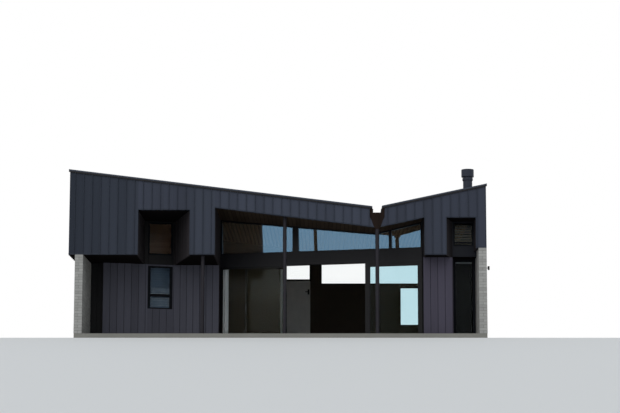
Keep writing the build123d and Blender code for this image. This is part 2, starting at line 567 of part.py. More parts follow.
def build_glass_wall():
    """Transom beam, clerestory, fixed door panels, track and the two sliding leaves."""
    parts["transom_beam"] = along(GLASS_WALL, 0, GLASS_LENGTH, 0, BEAM_D, BEAM_BOTTOM, BEAM_TOP)
    light = below(CEILING, HEAD_BAR)
    frame = along(GLASS_WALL, 0, GLASS_LENGTH, 0, CLERESTORY_D, BEAM_TOP, TALL) & UNDER_CEILING
    bays = [
        (JAMB_LEFT, MULLION_1 - MULLION_1_W / 2),
        (MULLION_1 + MULLION_1_W / 2, MULLION_2 - MULLION_2_W / 2),
        (MULLION_2 + MULLION_2_W / 2, GLASS_LENGTH - CLERESTORY_STILE),
    ]
    panes = []
    for u0, u1 in bays:
        sill = BEAM_TOP + CLERESTORY_SILL
        frame -= along(GLASS_WALL, u0, u1, 0, CLERESTORY_D, sill, TALL) & light
        panes.append(leaning_pane(u0, u1, sill) & light)
    parts["clerestory_frame"] = frame
    parts["clerestory_glass"] = Compound(panes)

    left = along(GLASS_WALL, 0, BAY_START, 0, FRAME_D, FLOOR_TOP, BEAM_BOTTOM)
    left_hole = (JAMB_LEFT, BAY_START - DOOR_STILE, FLOOR_TOP + DOOR_STILE, BEAM_BOTTOM - DOOR_STILE)
    right = along(GLASS_WALL, BAY_END, GLASS_LENGTH, 0, FRAME_D, FLOOR_TOP, BEAM_BOTTOM)
    right_hole = (BAY_END + BAY_POST, GLASS_LENGTH - END_STILE, FLOOR_TOP + DOOR_STILE,
                  BEAM_BOTTOM - RIGHT_HEAD)
    frames, glass = [], []
    glass_v = (FRAME_D - GLASS_T) / 2
    for panel, (u0, u1, z0, z1) in ((left, left_hole), (right, right_hole)):
        frames.append(panel - along(GLASS_WALL, u0, u1, 0, FRAME_D, z0, z1))
        glass.append(along(GLASS_WALL, u0, u1, glass_v, glass_v + GLASS_T, z0, z1))
    parts["fixed_door_frames"] = Compound(frames)
    parts["fixed_door_glass"] = Compound(glass)

    track_top = FLOOR_TOP + TRACK_T
    parts["door_track"] = along(GLASS_WALL, JAMB_LEFT, BAY_END + BAY_POST, FRAME_D, BEAM_D,
                                FLOOR_TOP, track_top)
    for name, v in (("first_leaf", FIRST_V), ("second_leaf", SECOND_V)):
        u1 = LEAF_OPEN_END
        u0 = u1 - LEAF_W
        z0, z1 = track_top + LEAF_LIFT, BEAM_BOTTOM - LEAF_HEAD_GAP
        leaf = along(GLASS_WALL, u0, u1, v, v + LEAF_T, z0, z1)
        hole = (u0 + DOOR_STILE, u1 - DOOR_STILE, z0 + DOOR_RAIL, z1 - DOOR_RAIL)
        leaf -= along(GLASS_WALL, hole[0], hole[1], v, v + LEAF_T, hole[2], hole[3])
        for u in (u0 + DOOR_RAIL, u1 - DOOR_RAIL - ROLLER_L):
            middle = v + LEAF_T / 2
            leaf += along(GLASS_WALL, u, u + ROLLER_L, middle - ROLLER_W / 2, middle + ROLLER_W / 2,
                          track_top + ROLLER_GAP, z0)
        parts[name + "_frame"] = leaf
        pane_v = v + (LEAF_T - GLASS_T) / 2
        parts[name + "_glass"] = along(GLASS_WALL, hole[0], hole[1], pane_v, pane_v + GLASS_T,
                                       hole[2], hole[3])


def build_curtains():
    """Curtain rail on the beam's inner face and the two curtains that hang from it."""
    top = BEAM_BOTTOM + CURTAIN_RAISE
    parts["curtain_rail"] = along(GLASS_WALL, 0, BAY_END, BEAM_D, BEAM_D + RAIL_W, top, top + RAIL_H)
    v = BEAM_D + CURTAIN_SET_BACK
    hung = [along(GLASS_WALL, u0, u0 + width, v, v + CURTAIN_T, FLOOR_TOP + CURTAIN_LIFT,
                  top - CURTAIN_GAP) for u0, width in CURTAINS]
    parts["curtains"] = Compound(hung)


def build_fittings():
    """Flue on the right roof and the lamp on the right brick wall."""
    foot = (Align.CENTER, Align.CENTER, Align.MIN)
    flue_x = WIDTH - FLUE_INSET
    cap_z = roof_line(flue_x, ROOF_LOW) + FLUE_H
    place = Pos(flue_x, FLUE_Y, 0)
    pipe = place * Cylinder(FLUE_D / 2, cap_z, align=foot)
    ring = place * Pos(0, 0, cap_z - FLUE_NECK_H - FLUE_RING_H) * Cylinder(
        FLUE_RING_D / 2, FLUE_RING_H, align=foot)
    parts["flue_pipe"] = (pipe - below(ROOF_LOW)) + ring
    parts["flue_cap"] = place * Pos(0, 0, cap_z) * Cylinder(FLUE_CAP_D / 2, FLUE_CAP_H, align=foot)
    light_z = FLOOR_TOP + LIGHT_H_ABOVE_FLOOR
    sideways = Rot(0, 90, 0)
    plate = Pos(WIDTH, LIGHT_Y, light_z) * sideways * Cylinder(
        LIGHT_PLATE_D / 2, LIGHT_PLATE_T, align=foot)
    arm = Pos(WIDTH, LIGHT_Y, light_z) * sideways * Cylinder(
        LIGHT_ARM_D / 2, LIGHT_REACH - LIGHT_D / 2, align=foot)
    lamp = Pos(WIDTH + LIGHT_REACH - LIGHT_D / 2, LIGHT_Y, light_z) * Cylinder(LIGHT_D / 2, LIGHT_H)
    parts["wall_light"] = plate + arm + lamp


def main():
    """Build every node and write it, with the origin under the middle of the house."""
    for build in (build_base, build_upper_sides, build_back, build_front_walls, build_right_walls,
                  build_screens, build_fascias, build_linings, build_roof, build_posts,
                  build_glass_wall, build_curtains, build_fittings):
        build()
    os.makedirs("parts", exist_ok=True)
    for name, shape in parts.items():
        export_step(Pos(-X_MID, -Y_MID, 0) * shape, f"parts/{name}.step")
    print(f"Leaf travels: {FIRST_TRAVEL:.0f} mm and {SECOND_TRAVEL:.0f} mm")


main()
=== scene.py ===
"""Looks of the beach house: standing seams, brick end walls, stained boards and tinted glass."""

import logging
import math
from collections.abc import Callable, Iterable
from dataclasses import dataclass, field
from enum import Enum

import bpy
from mathutils import Euler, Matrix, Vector


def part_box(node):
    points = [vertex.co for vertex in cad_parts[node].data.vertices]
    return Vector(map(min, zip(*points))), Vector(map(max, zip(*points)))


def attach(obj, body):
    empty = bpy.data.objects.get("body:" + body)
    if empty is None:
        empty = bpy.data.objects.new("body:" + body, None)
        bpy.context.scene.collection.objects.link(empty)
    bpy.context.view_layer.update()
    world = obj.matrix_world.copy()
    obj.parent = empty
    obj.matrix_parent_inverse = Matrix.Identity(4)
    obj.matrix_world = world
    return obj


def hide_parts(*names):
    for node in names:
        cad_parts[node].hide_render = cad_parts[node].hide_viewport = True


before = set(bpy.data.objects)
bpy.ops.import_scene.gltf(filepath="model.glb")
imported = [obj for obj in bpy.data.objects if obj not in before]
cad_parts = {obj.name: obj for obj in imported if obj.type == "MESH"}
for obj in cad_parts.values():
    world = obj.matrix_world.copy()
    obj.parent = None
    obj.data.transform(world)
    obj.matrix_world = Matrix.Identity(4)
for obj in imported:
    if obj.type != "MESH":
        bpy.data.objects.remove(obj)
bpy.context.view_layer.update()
ROUND_DIGITS = 4           # corners closer than this many decimals of a metre are one corner
NEAR = 2 * 10 ** -ROUND_DIGITS   # coordinates closer than this are level

Point = tuple[float, float, float]
Span = tuple[float, float]
Tree = bpy.types.NodeTree
Socket = bpy.types.NodeSocket
Node = bpy.types.Node
Colour = tuple[float, float, float, float]


class Body(Enum):
    """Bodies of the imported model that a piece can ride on."""

    HOUSE = "house"
    FIRST_LEAF = "first_leaf"
    SECOND_LEAF = "second_leaf"


class Slot(Enum):
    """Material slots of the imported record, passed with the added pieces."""

    BRICK = "brick"
    CLADDING = "metal_cladding"
    DARK_TIMBER = "dark_timber"
    ROOF = "roof_sheet"
    FLASHING = "flashing"
    STEEL = "painted_steel"
    FRAMES = "window_frame"
    TRACK = "track"
    FLUE = "flue"
    LAMP = "lamp"
    CURTAIN = "curtain"


class Axis(Enum):
    """Directions of the frame."""

    X = 0
    Y = 1
    Z = 2


# Spans and rectangles

def grown(span: Span, by: float) -> Span:
    """The span, longer at both ends, or shorter where the length is negative."""
    return span[0] - by, span[1] + by


def shifted(span: Span, by: float) -> Span:
    """The span, moved along its axis."""
    return span[0] + by, span[1] + by


def around(middle: float, half: float) -> Span:
    """Span with this middle and half width."""
    return middle - half, middle + half


def beside(start: float, width: float) -> Span:
    """Span from a start to a width further, which is negative towards the left."""
    return min(start, start + width), max(start, start + width)


def row(first: float, pitch: float, end: float) -> list[float]:
    """Places from the first one on, one pitch apart, short of the end."""
    return [first + pitch * i for i in range(math.ceil((end - first) / pitch))]


def oblong(a: Span, b: Span) -> list[Span]:
    """Corners of a rectangle, anticlockwise."""
    return [(a[0], b[0]), (a[1], b[0]), (a[1], b[1]), (a[0], b[1])]


def clear_of(span: Span, gaps: Iterable[Span]) -> list[Span]:
    """What is left of a span once some gaps are cut out of it.

    Args:
        span: Start and end.
        gaps: Starts and ends to cut.

    Returns:
        The stretches that are left, in order.
    """
    left, start = [], span[0]
    for low, high in sorted(gaps):
        if high <= start or low >= span[1]:
            continue
        if low > start:
            left.append((start, low))
        start = max(start, high)
    if start < span[1]:
        left.append((start, span[1]))
    return left


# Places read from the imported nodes

def corners(node: str) -> list[Vector]:
    """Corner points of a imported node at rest."""
    return [v.co.copy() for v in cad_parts[node].data.vertices]


def places(node: str, axis: Axis) -> list[float]:
    """Sorted distinct coordinates of a node's corners along one axis."""
    return sorted({round(p[axis.value], ROUND_DIGITS) for p in corners(node)})


def solids(node: str) -> list[list[Vector]]:
    """Corner points of each separate solid of a node, from left to right.

    Args:
        node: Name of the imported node.

    Returns:
        One list of points for each solid.
    """
    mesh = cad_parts[node].data
    keys = [tuple(round(c, ROUND_DIGITS) for c in v.co) for v in mesh.vertices]
    owner = {key: key for key in keys}

    def root(key: Point) -> Point:
        """Follows the owners of a corner to their end.

        Args:
            key: Rounded corner.

        Returns:
            The corner that stands for its solid.
        """
        while owner[key] != key:
            key = owner[key]
        return key

    for polygon in mesh.polygons:
        first = root(keys[polygon.vertices[0]])
        for index in polygon.vertices[1:]:
            owner[root(keys[index])] = first
    groups: dict[Point, list[Vector]] = {}
    for key in owner:
        groups.setdefault(root(key), []).append(Vector(key))
    return sorted(groups.values(), key=lambda points: min(p.x for p in points))


def extent(points: Iterable[Vector], axis: Axis) -> Span:
    """Lowest and highest coordinate of some points along one axis."""
    values = [p[axis.value] for p in points]
    return min(values), max(values)


def flat(point: Vector) -> Vector:
    """The point's place in plan."""
    return Vector((point.x, point.y, 0.0))


@dataclass(frozen=True)
class Rake:
    """A butterfly line: its height at the valley and how fast it rises to each side."""

    valley: float
    low: float
    left: float
    right: float

    def at(self, x: float) -> float:
        """Height of the line at x."""
        return self.low + (self.valley - x) * (self.left if x < self.valley else -self.right)

    def moved(self, rise: float) -> "Rake":
        """The same line, raised."""
        return Rake(self.valley, self.low + rise, self.left, self.right)


@dataclass(frozen=True)
class Run:
    """A straight wall line in plan, with u along it and v square to it, towards the back."""

    start: Vector
    end: Vector

    @property
    def length(self) -> float:
        """Length of the line."""
        return (self.end - self.start).length

    @property
    def along(self) -> Vector:
        """Unit direction of the line."""
        return (self.end - self.start).normalized()

    @property
    def square(self) -> Vector:
        """Unit direction square to the line, towards the back."""
        return Vector((-self.along.y, self.along.x, 0.0))

    @property
    def across(self) -> "Run":
        """Line square to this one, from its start towards the back."""
        return Run(self.start, self.start + self.square)

    def point(self, u: float, v: float, z: float) -> Vector:
        """Point at u along the line, v behind it and z above the ground."""
        return Vector((self.start.x, self.start.y, z)) + self.along * u + self.square * v

    def reach(self, points: Iterable[Vector]) -> Span:
        """Lowest and highest u of some points."""
        values = [(flat(p) - self.start).dot(self.along) for p in points]
        return min(values), max(values)


def level_run(x: Span, y: float) -> Run:
    """Wall line square to the frame's depth."""
    return Run(Vector((x[0], y, 0.0)), Vector((x[1], y, 0.0)))


@dataclass(frozen=True)
class House:
    """Main lines of the house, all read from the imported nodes."""

    left: list[float]          # edges of the left screen panels and the recess between them
    right: list[float]
    front: float
    back: float
    floor: float
    soffit: float
    right_soffit: float
    left_head: float           # foot of the cladding over the recess
    right_head: float
    gutter: Span
    cladding_top: Rake
    fascia_edge: Rake
    roof_top: Rake
    left_wall: Run
    mid_wall: Run
    niche_wall: Run
    right_wall: Run
    side_return: Run
    glass_wall: Run

    @staticmethod
    def measure() -> "House":
        """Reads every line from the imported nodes.

        Returns:
            The filled-in house.
        """
        def edge(node: str, x: float, pick: Callable[[Iterable[float]], float]) -> float:
            """Lowest or highest corner of a node at x."""
            return pick(p.z for p in corners(node) if abs(p.x - x) < NEAR)

        left, right = (places(f"screen_panels_{side}", Axis.X) for side in ("left", "right"))
        gutter = extent(corners("box_gutter"), Axis.X)
        valley = sum(gutter) / 2
        tops = [edge("screen_panels_left", x, max) for x in (left[0], left[-1])]
        far = [edge("screen_panels_right", x, max) for x in (right[0], right[-1])]
        rise_left = (tops[0] - tops[1]) / (left[-1] - left[0])
        rise_right = (far[1] - far[0]) / (right[-1] - right[0])
        top = Rake(valley, tops[0] - (valley - left[0]) * rise_left, rise_left, rise_right)
        fascia_drop = top.at(left[-1]) - edge("fascia_left", left[-1], min)
        roof_x = extent(corners("roof_left"), Axis.X)[0]
        cap = edge("roof_left", roof_x, max) - edge("roof_left", roof_x, min)
        heads = [extent(s, Axis.Z)[0] for s in solids("recess_head_screens")]
        panel_feet = [extent(s, Axis.Z)[0] for s in solids("screen_panels_right")]
        wall = corners("front_wall_left")
        wall_start, wall_end = min(wall, key=lambda p: p.y), max(wall, key=lambda p: p.x)
        beam = corners("transom_beam")
        niche, front_right = corners("niche_wall"), corners("front_wall_right")
        splay = solids("return_walls")[-1]
        splay_front = extent(splay, Axis.Y)[0] + NEAR
        splay_start = max((p for p in splay if p.y < splay_front), key=lambda p: p.x)
        splay_end = max(splay, key=lambda p: (round(p.x, ROUND_DIGITS - 1), -p.y))
        right_start = extent(front_right, Axis.X)[0]
        return House(
            left=left, right=right,
            front=extent(corners("screen_panels_left"), Axis.Y)[0],
            back=extent(corners("back_wall"), Axis.Y)[1],
            floor=extent(corners("floor_slab"), Axis.Z)[1],
            soffit=min(panel_feet), right_soffit=max(panel_feet),
            left_head=heads[0], right_head=heads[-1], gutter=gutter,
            cladding_top=top, fascia_edge=top.moved(-fascia_drop), roof_top=top.moved(cap),
            left_wall=Run(flat(wall_start), flat(wall_end)),
            mid_wall=level_run((wall_end.x, left[-1]), wall_end.y),
            niche_wall=level_run(extent(niche, Axis.X), extent(niche, Axis.Y)[0]),
            right_wall=Run(Vector((right_start, extent(front_right, Axis.Y)[0], 0.0)),
                           flat(splay_start)),
            side_return=Run(flat(splay_start), flat(splay_end)),
            glass_wall=Run(flat(min(beam, key=lambda p: p.x)), flat(min(beam, key=lambda p: p.y))),
        )

    def spans(self) -> list[tuple[float, float, Rake]]:
        """Stretches of the clad front from left to right.

        Returns:
            Left edge, right edge and line of the foot of each stretch.
        """
        a, b, valley = self.left, self.right, self.fascia_edge.valley
        low, left_head, right_head, right_low = (
            Rake(valley, height, 0.0, 0.0)
            for height in (self.soffit, self.left_head, self.right_head, self.right_soffit))
        return [
            (a[0], a[1], low), (a[1], a[2], left_head), (a[2], a[3], low),
            (a[3], self.gutter[0], self.fascia_edge), (self.gutter[1], b[0], self.fascia_edge),
            (b[0], b[1], low), (b[1], b[2], right_head), (b[2], b[3], right_low),
        ]


# Materials

def linear(code: str) -> Colour:
    """Linear colour of an sRGB hex code.

    Args:
        code: Number sign and six hex digits.

    Returns:
        Red, green and blue by the sRGB transfer curve, and full opacity.
    """
    values = [int(code[i:i + 2], 16) / 255 for i in (1, 3, 5)]
    red, green, blue = (v / 12.92 if v <= 0.04045 else ((v + 0.055) / 1.055) ** 2.4 for v in values)
    return red, green, blue, 1.0


def add(tree: Tree, kind: str, inputs: dict[str | int, object] | None = None,
        **settings: str) -> Node:
    """Adds a node with its settings and links.

    Args:
        tree: Node tree to add to.
        kind: Node type, without its prefix.
        inputs: Socket names or numbers, with values or with sockets to link from.
        **settings: Attributes of the node.

    Returns:
        The new node.
    """
    made = tree.nodes.new("ShaderNode" + kind)
    for key, value in settings.items():
        setattr(made, key, value)
    for key, value in (inputs or {}).items():
        if isinstance(value, Socket):
            tree.links.new(value, made.inputs[key])
        else:
            made.inputs[key].default_value = value
    return made


def calc(tree: Tree, operation: str, a: float | Socket, b: float | Socket = 0.0) -> Socket:
    """Result of a sum on one or two values."""
    return add(tree, "Math", {0: a, 1: b}, operation=operation).outputs[0]


def blend(tree: Tree, a: Socket, b: Socket, share: float) -> Socket:
    """Mean of two patterns, with the share that the second has."""
    return add(tree, "Mix", {"Factor": share, "A": a, "B": b}, data_type="FLOAT").outputs[0]


def tint(tree: Tree, share: Socket, a: Socket | Colour, b: Socket | Colour) -> Socket:
    """Colour that goes from a to b as a share goes from 0 to 1."""
    return add(tree, "Mix", {"Factor": share, 6: a, 7: b}, data_type="RGBA").outputs[2]


def between(tree: Tree, share: Socket, low: str, high: str) -> Socket:
    """Colour that goes from one hex code to another.

    Args:
        tree: Node tree to add to.
        share: Pattern from 0 to 1.
        low: Colour at 0.
        high: Colour at 1.

    Returns:
        The colour's socket.
    """
    ramp = add(tree, "ValToRGB", {"Fac": share})
    for element, code in zip(ramp.color_ramp.elements, (low, high)):
        element.color = linear(code)
    return ramp.outputs["Color"]


def remap(tree: Tree, value: Socket, low: float, high: float) -> Socket:
    """Value that goes from low to high as another goes from 0 to 1."""
    return add(tree, "MapRange", {"Value": value, "To Min": low, "To Max": high}).outputs[0]


def speckle(tree: Tree, place: Socket, grain_mm: Point, detail: float = 3.0) -> Socket:
    """Cloudy pattern whose patches have a real size.

    Args:
        tree: Node tree to add to.
        place: Coordinates in metres.
        grain_mm: Size of a patch along each axis, in millimetres.
        detail: How many finer layers it has.

    Returns:
        A socket from 0 to 1.
    """
    scaled = add(tree, "Mapping", {"Vector": place, "Scale": tuple(1000 / g for g in grain_mm)})
    noise = add(tree, "TexNoise", {"Vector": scaled.outputs[0], "Scale": 1.0, "Detail": detail})
    return noise.outputs["Fac"]


def relief(tree: Tree, height: Socket, depth_mm: float, under: Socket | None = None) -> Socket:
    """Normal of a surface whose pattern has a real depth.

    Args:
        tree: Node tree to add to.
        height: Pattern from 0 to 1.
        depth_mm: Depth of the pattern in millimetres.
        under: Normal that it adds to.

    Returns:
        The normal's socket.
    """
    inputs = {"Height": height, "Distance": depth_mm / 1000}
    if under is not None:
        inputs["Normal"] = under
    return add(tree, "Bump", inputs).outputs["Normal"]


def strip(tree: Tree, place: Socket, axis: Axis, first: float, pitch: float
          ) -> tuple[Socket, Socket]:
    """Cuts the surface into equal strips across one axis.

    Args:
        tree: Node tree to add to.
        place: Coordinates in metres.
        axis: Axis that the strips follow one another along.
        first: Where a strip begins.
        pitch: Width of a strip.

    Returns:
        A random share for each strip, and the place within it from 0 to 1.
    """
    apart = add(tree, "SeparateXYZ", {"Vector": place})
    count = calc(tree, "DIVIDE", calc(tree, "SUBTRACT", apart.outputs[axis.value], first), pitch)
    share = add(tree, "TexWhiteNoise", {"W": calc(tree, "FLOOR", count)}, noise_dimensions="1D")
    return share.outputs["Value"], calc(tree, "FRACT", count)


@dataclass(frozen=True)
class Finish:
    """A finish: its name, its deepest and palest colours and its roughness."""

    name: str
    deep: str
    pale: str
    roughness: float
    specular: float = 0.15     # matt surfaces with dust and texture mirror little of the sky
    swing: float = 0.05        # how far a pattern moves the roughness up and down

    def material(self) -> bpy.types.Material:
        """The finish as a material, made once.

        Returns:
            The material with this finish's name.
        """
        made = bpy.data.materials.get(self.name)
        if made is None:
            made = bpy.data.materials.new(self.name)
            made.use_nodes = True
            made.diffuse_color = linear(self.pale)
            tree = made.node_tree
            tree.nodes.clear()
            shader = self.paint(tree, add(tree, "TexCoord").outputs["Object"])
            add(tree, "OutputMaterial", {"Surface": shader.outputs[0]})
        return made

    def paint(self, tree: Tree, place: Socket) -> Node:
        """Builds the shader; each kind of finish has its own."""
        raise NotImplementedError

    def opaque(self, tree: Tree, colour: Socket, pattern: Socket, normal: Socket) -> Node:
        """Shader of a surface that lets no light through.

        Args:
            tree: Node tree to add to.
            colour: Its colour.
            pattern: Pattern from 0 to 1 that moves the roughness.
            normal: Its relief.

        Returns:
            The shader's node.
        """
        rough = remap(tree, pattern, self.roughness - self.swing, self.roughness + self.swing)
        return add(tree, "BsdfPrincipled", {
            "Base Color": colour, "Roughness": rough, "Specular IOR Level": self.specular,
            "Normal": normal})


@dataclass(frozen=True)
class CoatedSteel(Finish):
    """Prepainted steel, roll formed: matt and slightly cool, with faint streaks and pans."""

    swing: float = 0.06
    axis: Axis = Axis.X
    first: float = 0.0
    pitch: float = 0.0             # width of a pan; 0 where the sheet has none
    bleached: Span | None = None   # x where the painted light starts and where it is full; the sheet turns paler between
    streak_mm: Point = (90, 90, 1400)
    wave_mm: Point = (420, 420, 900)
    buckle_mm: float = 1.2         # depth of the slight waves in thin sheet
    pan_share: float = 0.45        # weight of each pan's own tone
    painted_light_share: float = 0.55

    def paint(self, tree: Tree, place: Socket) -> Node:
        """Streaks down the sheet, one tone a pan, and shallow waves.

        Args:
            tree: Node tree to add to.
            place: Coordinates in metres.

        Returns:
            The shader's node.
        """
        tone = streaks = speckle(tree, place, self.streak_mm)
        if self.pitch:
            pan, _ = strip(tree, place, self.axis, self.first, self.pitch)
            tone = blend(tree, streaks, pan, self.pan_share)
        # Painted light: the sheet turns paler along x over this span.
        if self.bleached:
            spot = add(tree, "SeparateXYZ", {"Vector": place})
            light_ramp = add(tree, "MapRange", {"Value": spot.outputs["X"], "From Min": self.bleached[0],
                                         "From Max": self.bleached[1]})
            tone = blend(tree, tone, light_ramp.outputs["Result"], self.painted_light_share)
        waves = speckle(tree, place, self.wave_mm, detail=1.0)
        return self.opaque(tree, between(tree, tone, self.deep, self.pale), streaks,
                           relief(tree, waves, self.buckle_mm))


@dataclass(frozen=True)
class PaintedLightIndoors:
    """How boards look behind a wall line: paler, as painted light."""

    border: Run
    deep: str
    pale: str
    joint: float               # share of the board's width


@dataclass(frozen=True)
class Boards(Finish):
    """Stained timber boards: long grain, a tone for each, and joints where they are drawn here."""

    swing: float = 0.08
    length: Axis = Axis.Z
    across: Axis = Axis.X
    pitch: float = 0.0         # 0 where the boards are separate solids
    joint: float = 0.05        # share of the board's width
    joint_depth_mm: float = 4.0
    joint_colour: str = "#050405"
    grain_mm: float = 14.0     # drawn coarser than real grain so that it shows
    grain_length_mm: float = 900.0
    grain_layers: float = 5.0
    grain_depth_mm: float = 0.8
    own_share: float = 0.4     # weight of each board's own tone
    lit_indoors: PaintedLightIndoors | None = None

    def paint(self, tree: Tree, place: Socket) -> Node:
        """Grain along the boards, with a tone for each board and the joints between them.

        Args:
            tree: Node tree to add to.
            place: Coordinates in metres.

        Returns:
            The shader's node.
        """
        patch = [self.grain_mm] * 3
        patch[self.length.value] = self.grain_length_mm
        grain = speckle(tree, place, tuple(patch), self.grain_layers)
        if self.pitch:
            own, within = strip(tree, place, self.across, 0.0, self.pitch)
        else:
            own = add(tree, "NewGeometry").outputs["Random Per Island"]
        tone = blend(tree, grain, own, self.own_share)
        colour, width = between(tree, tone, self.deep, self.pale), self.joint
        # behind the border line the boards are painted paler: painted light
        if self.lit_indoors:
            square, start = self.lit_indoors.border.square, self.lit_indoors.border.start
            away = add(tree, "VectorMath", {0: place, 1: tuple(square)}, operation="DOT_PRODUCT")
            behind = calc(tree, "GREATER_THAN", away.outputs["Value"], start.dot(square))
            lit_colour = between(tree, tone, self.lit_indoors.deep, self.lit_indoors.pale)
            colour = tint(tree, behind, colour, lit_colour)
            width = remap(tree, behind, self.joint, self.lit_indoors.joint)
        normal = relief(tree, grain, self.grain_depth_mm)
        if self.pitch:
            gap = calc(tree, "LESS_THAN", within, width)
            colour = tint(tree, gap, colour, linear(self.joint_colour))
            normal = relief(tree, calc(tree, "SUBTRACT", 1.0, gap), self.joint_depth_mm, normal)
        return self.opaque(tree, colour, grain, normal)


@dataclass(frozen=True)
class Mineral(Finish):
    """Brick, mortar, concrete or plaster: cloudy, gritty and fully matt."""

    cloud_mm: float = 400.0
    grit_mm: float = 9.0       # coarser than real grit so that it shows
    grit_depth_mm: float = 1.0
    grit_share: float = 0.35
    single: bool = False       # each separate solid has its own tone
    own_share: float = 0.5     # weight of that tone
    outer: CoatedSteel | None = None   # steel on the faces that look to the back
    outer_from: float = 0.5    # how far such a face looks to the back

    def paint(self, tree: Tree, place: Socket) -> Node:
        """Clouds and grit, and a tone of its own for each brick.

        Args:
            tree: Node tree to add to.
            place: Coordinates in metres.

        Returns:
            The shader's node.
        """
        clouds = speckle(tree, place, (self.cloud_mm,) * 3)
        grit = speckle(tree, place, (self.grit_mm,) * 3)
        tone = blend(tree, clouds, grit, self.grit_share)
        geometry = add(tree, "NewGeometry")
        if self.single:
            tone = blend(tree, tone, geometry.outputs["Random Per Island"], self.own_share)
        made = self.opaque(tree, between(tree, tone, self.deep, self.pale), grit,
                           relief(tree, grit, self.grit_depth_mm))
        if self.outer is None:
            return made
        facing = add(tree, "SeparateXYZ", {"Vector": geometry.outputs["Normal"]})
        outwards = calc(tree, "GREATER_THAN", facing.outputs["Y"], self.outer_from)
        steel = self.outer.paint(tree, place)
        return add(tree, "MixShader", {0: outwards, 1: made.outputs[0], 2: steel.outputs[0]})


@dataclass(frozen=True)
class Coating(Finish):
    """Powder coat or enamel on metal: even colour with a fine orange-peel surface."""

    dust_mm: Point = (160, 160, 320)
    peel_mm: float = 6.0       # drawn coarser than the real 2 mm so that it shows
    peel_depth_mm: float = 0.15

    def paint(self, tree: Tree, place: Socket) -> Node:
        """Orange peel and slight dust.

        Args:
            tree: Node tree to add to.
            place: Coordinates in metres.

        Returns:
            The shader's node.
        """
        dust = speckle(tree, place, self.dust_mm)
        peel = speckle(tree, place, (self.peel_mm,) * 3, detail=1.0)
        return self.opaque(tree, between(tree, dust, self.deep, self.pale), dust,
                           relief(tree, peel, self.peel_depth_mm))


@dataclass(frozen=True)
class Pane(Finish):
    """Float glass: smooth, a little wavy, clear or with a mirror layer whose colour is a painted
    reflection.
    """

    glare: str = "#ffffff"     # tint of the reflection; dark on glass with an anti-glare layer
    painted_reflection: str = "#ffffff"   # colour of the mirror layer: a painted reflection
    mirror: float = 0.0        # share of the light that the mirror layer reflects
    veil: float = 0.0          # share hidden by a film of salt and dust
    dust: str = "#ffffff"      # colour of that film
    dust_roughness: float = 0.9
    dust_specular: float = 0.1
    bare: str = "#f6f9f9"      # colour of the glass where it has no tint
    tint_from: float = -1e3    # x left of which the glass has no tint
    cloud_mm: Point = (1500, 1500, 500)
    wave_mm: Point = (600, 600, 900)
    wave_depth_mm: float = 0.05

    def paint(self, tree: Tree, place: Socket) -> Node:
        """Tint with slow changes, the long waves of float glass, and the mirror layer over it,
        whose colour is a painted reflection.

        Args:
            tree: Node tree to add to.
            place: Coordinates in metres.

        Returns:
            The shader's node.
        """
        clouds = speckle(tree, place, self.cloud_mm, detail=1.0)
        waves = speckle(tree, place, self.wave_mm, detail=0.0)
        normal = relief(tree, waves, self.wave_depth_mm)
        spot = add(tree, "SeparateXYZ", {"Vector": place})
        tinted = calc(tree, "GREATER_THAN", spot.outputs["X"], self.tint_from)
        base = tint(tree, tinted, linear(self.bare), between(tree, clouds, self.deep, self.pale))
        made = add(tree, "BsdfPrincipled", {
            "Base Color": base, "Roughness": self.roughness, "Transmission Weight": 1.0,
            "Specular Tint": linear(self.glare), "Normal": normal})
        # the mirror layer's colour is a painted reflection
        layers = (
            (self.mirror, {"Base Color": linear(self.painted_reflection), "Metallic": 1.0,
                           "Roughness": self.roughness, "Normal": normal}),
            (self.veil, {"Base Color": linear(self.dust), "Roughness": self.dust_roughness,
                         "Specular IOR Level": self.dust_specular}))
        for share, inputs in layers:
            if share:
                layer = add(tree, "BsdfPrincipled", inputs)
                made = add(tree, "MixShader", {0: share, 1: made.outputs[0], 2: layer.outputs[0]})
        return made


@dataclass(frozen=True)
class Cloth(Finish):
    """Woven linen: matt with a soft sheen, and a plain weave."""

    sheen: float = 0.3
    slub_mm: Point = (25, 25, 160)
    unit_mm: float = 5.0       # the wave pattern's unit
    weave_scale: float = 0.5   # threads 3.1 mm apart, not the real 0.8 mm, so that they show
    weave_share: float = 0.3
    weave_depth_mm: float = 0.6

    def paint(self, tree: Tree, place: Socket) -> Node:
        """Threads both ways, with slubs.

        Args:
            tree: Node tree to add to.
            place: Coordinates in metres.

        Returns:
            The shader's node.
        """
        slubs = speckle(tree, place, self.slub_mm)
        scaled = add(tree, "Mapping", {"Vector": place, "Scale": (1000 / self.unit_mm,) * 3})
        upright, level = (
            add(tree, "TexWave", {"Vector": scaled.outputs[0], "Scale": self.weave_scale},
                bands_direction=way).outputs["Fac"] for way in ("X", "Z"))
        weave = blend(tree, upright, level, share=0.5)
        tone = blend(tree, slubs, weave, self.weave_share)
        return add(tree, "BsdfPrincipled", {
            "Base Color": between(tree, tone, self.deep, self.pale),
            "Roughness": self.roughness, "Sheen Weight": self.sheen,
            "Normal": relief(tree, weave, self.weave_depth_mm)})


# Meshes

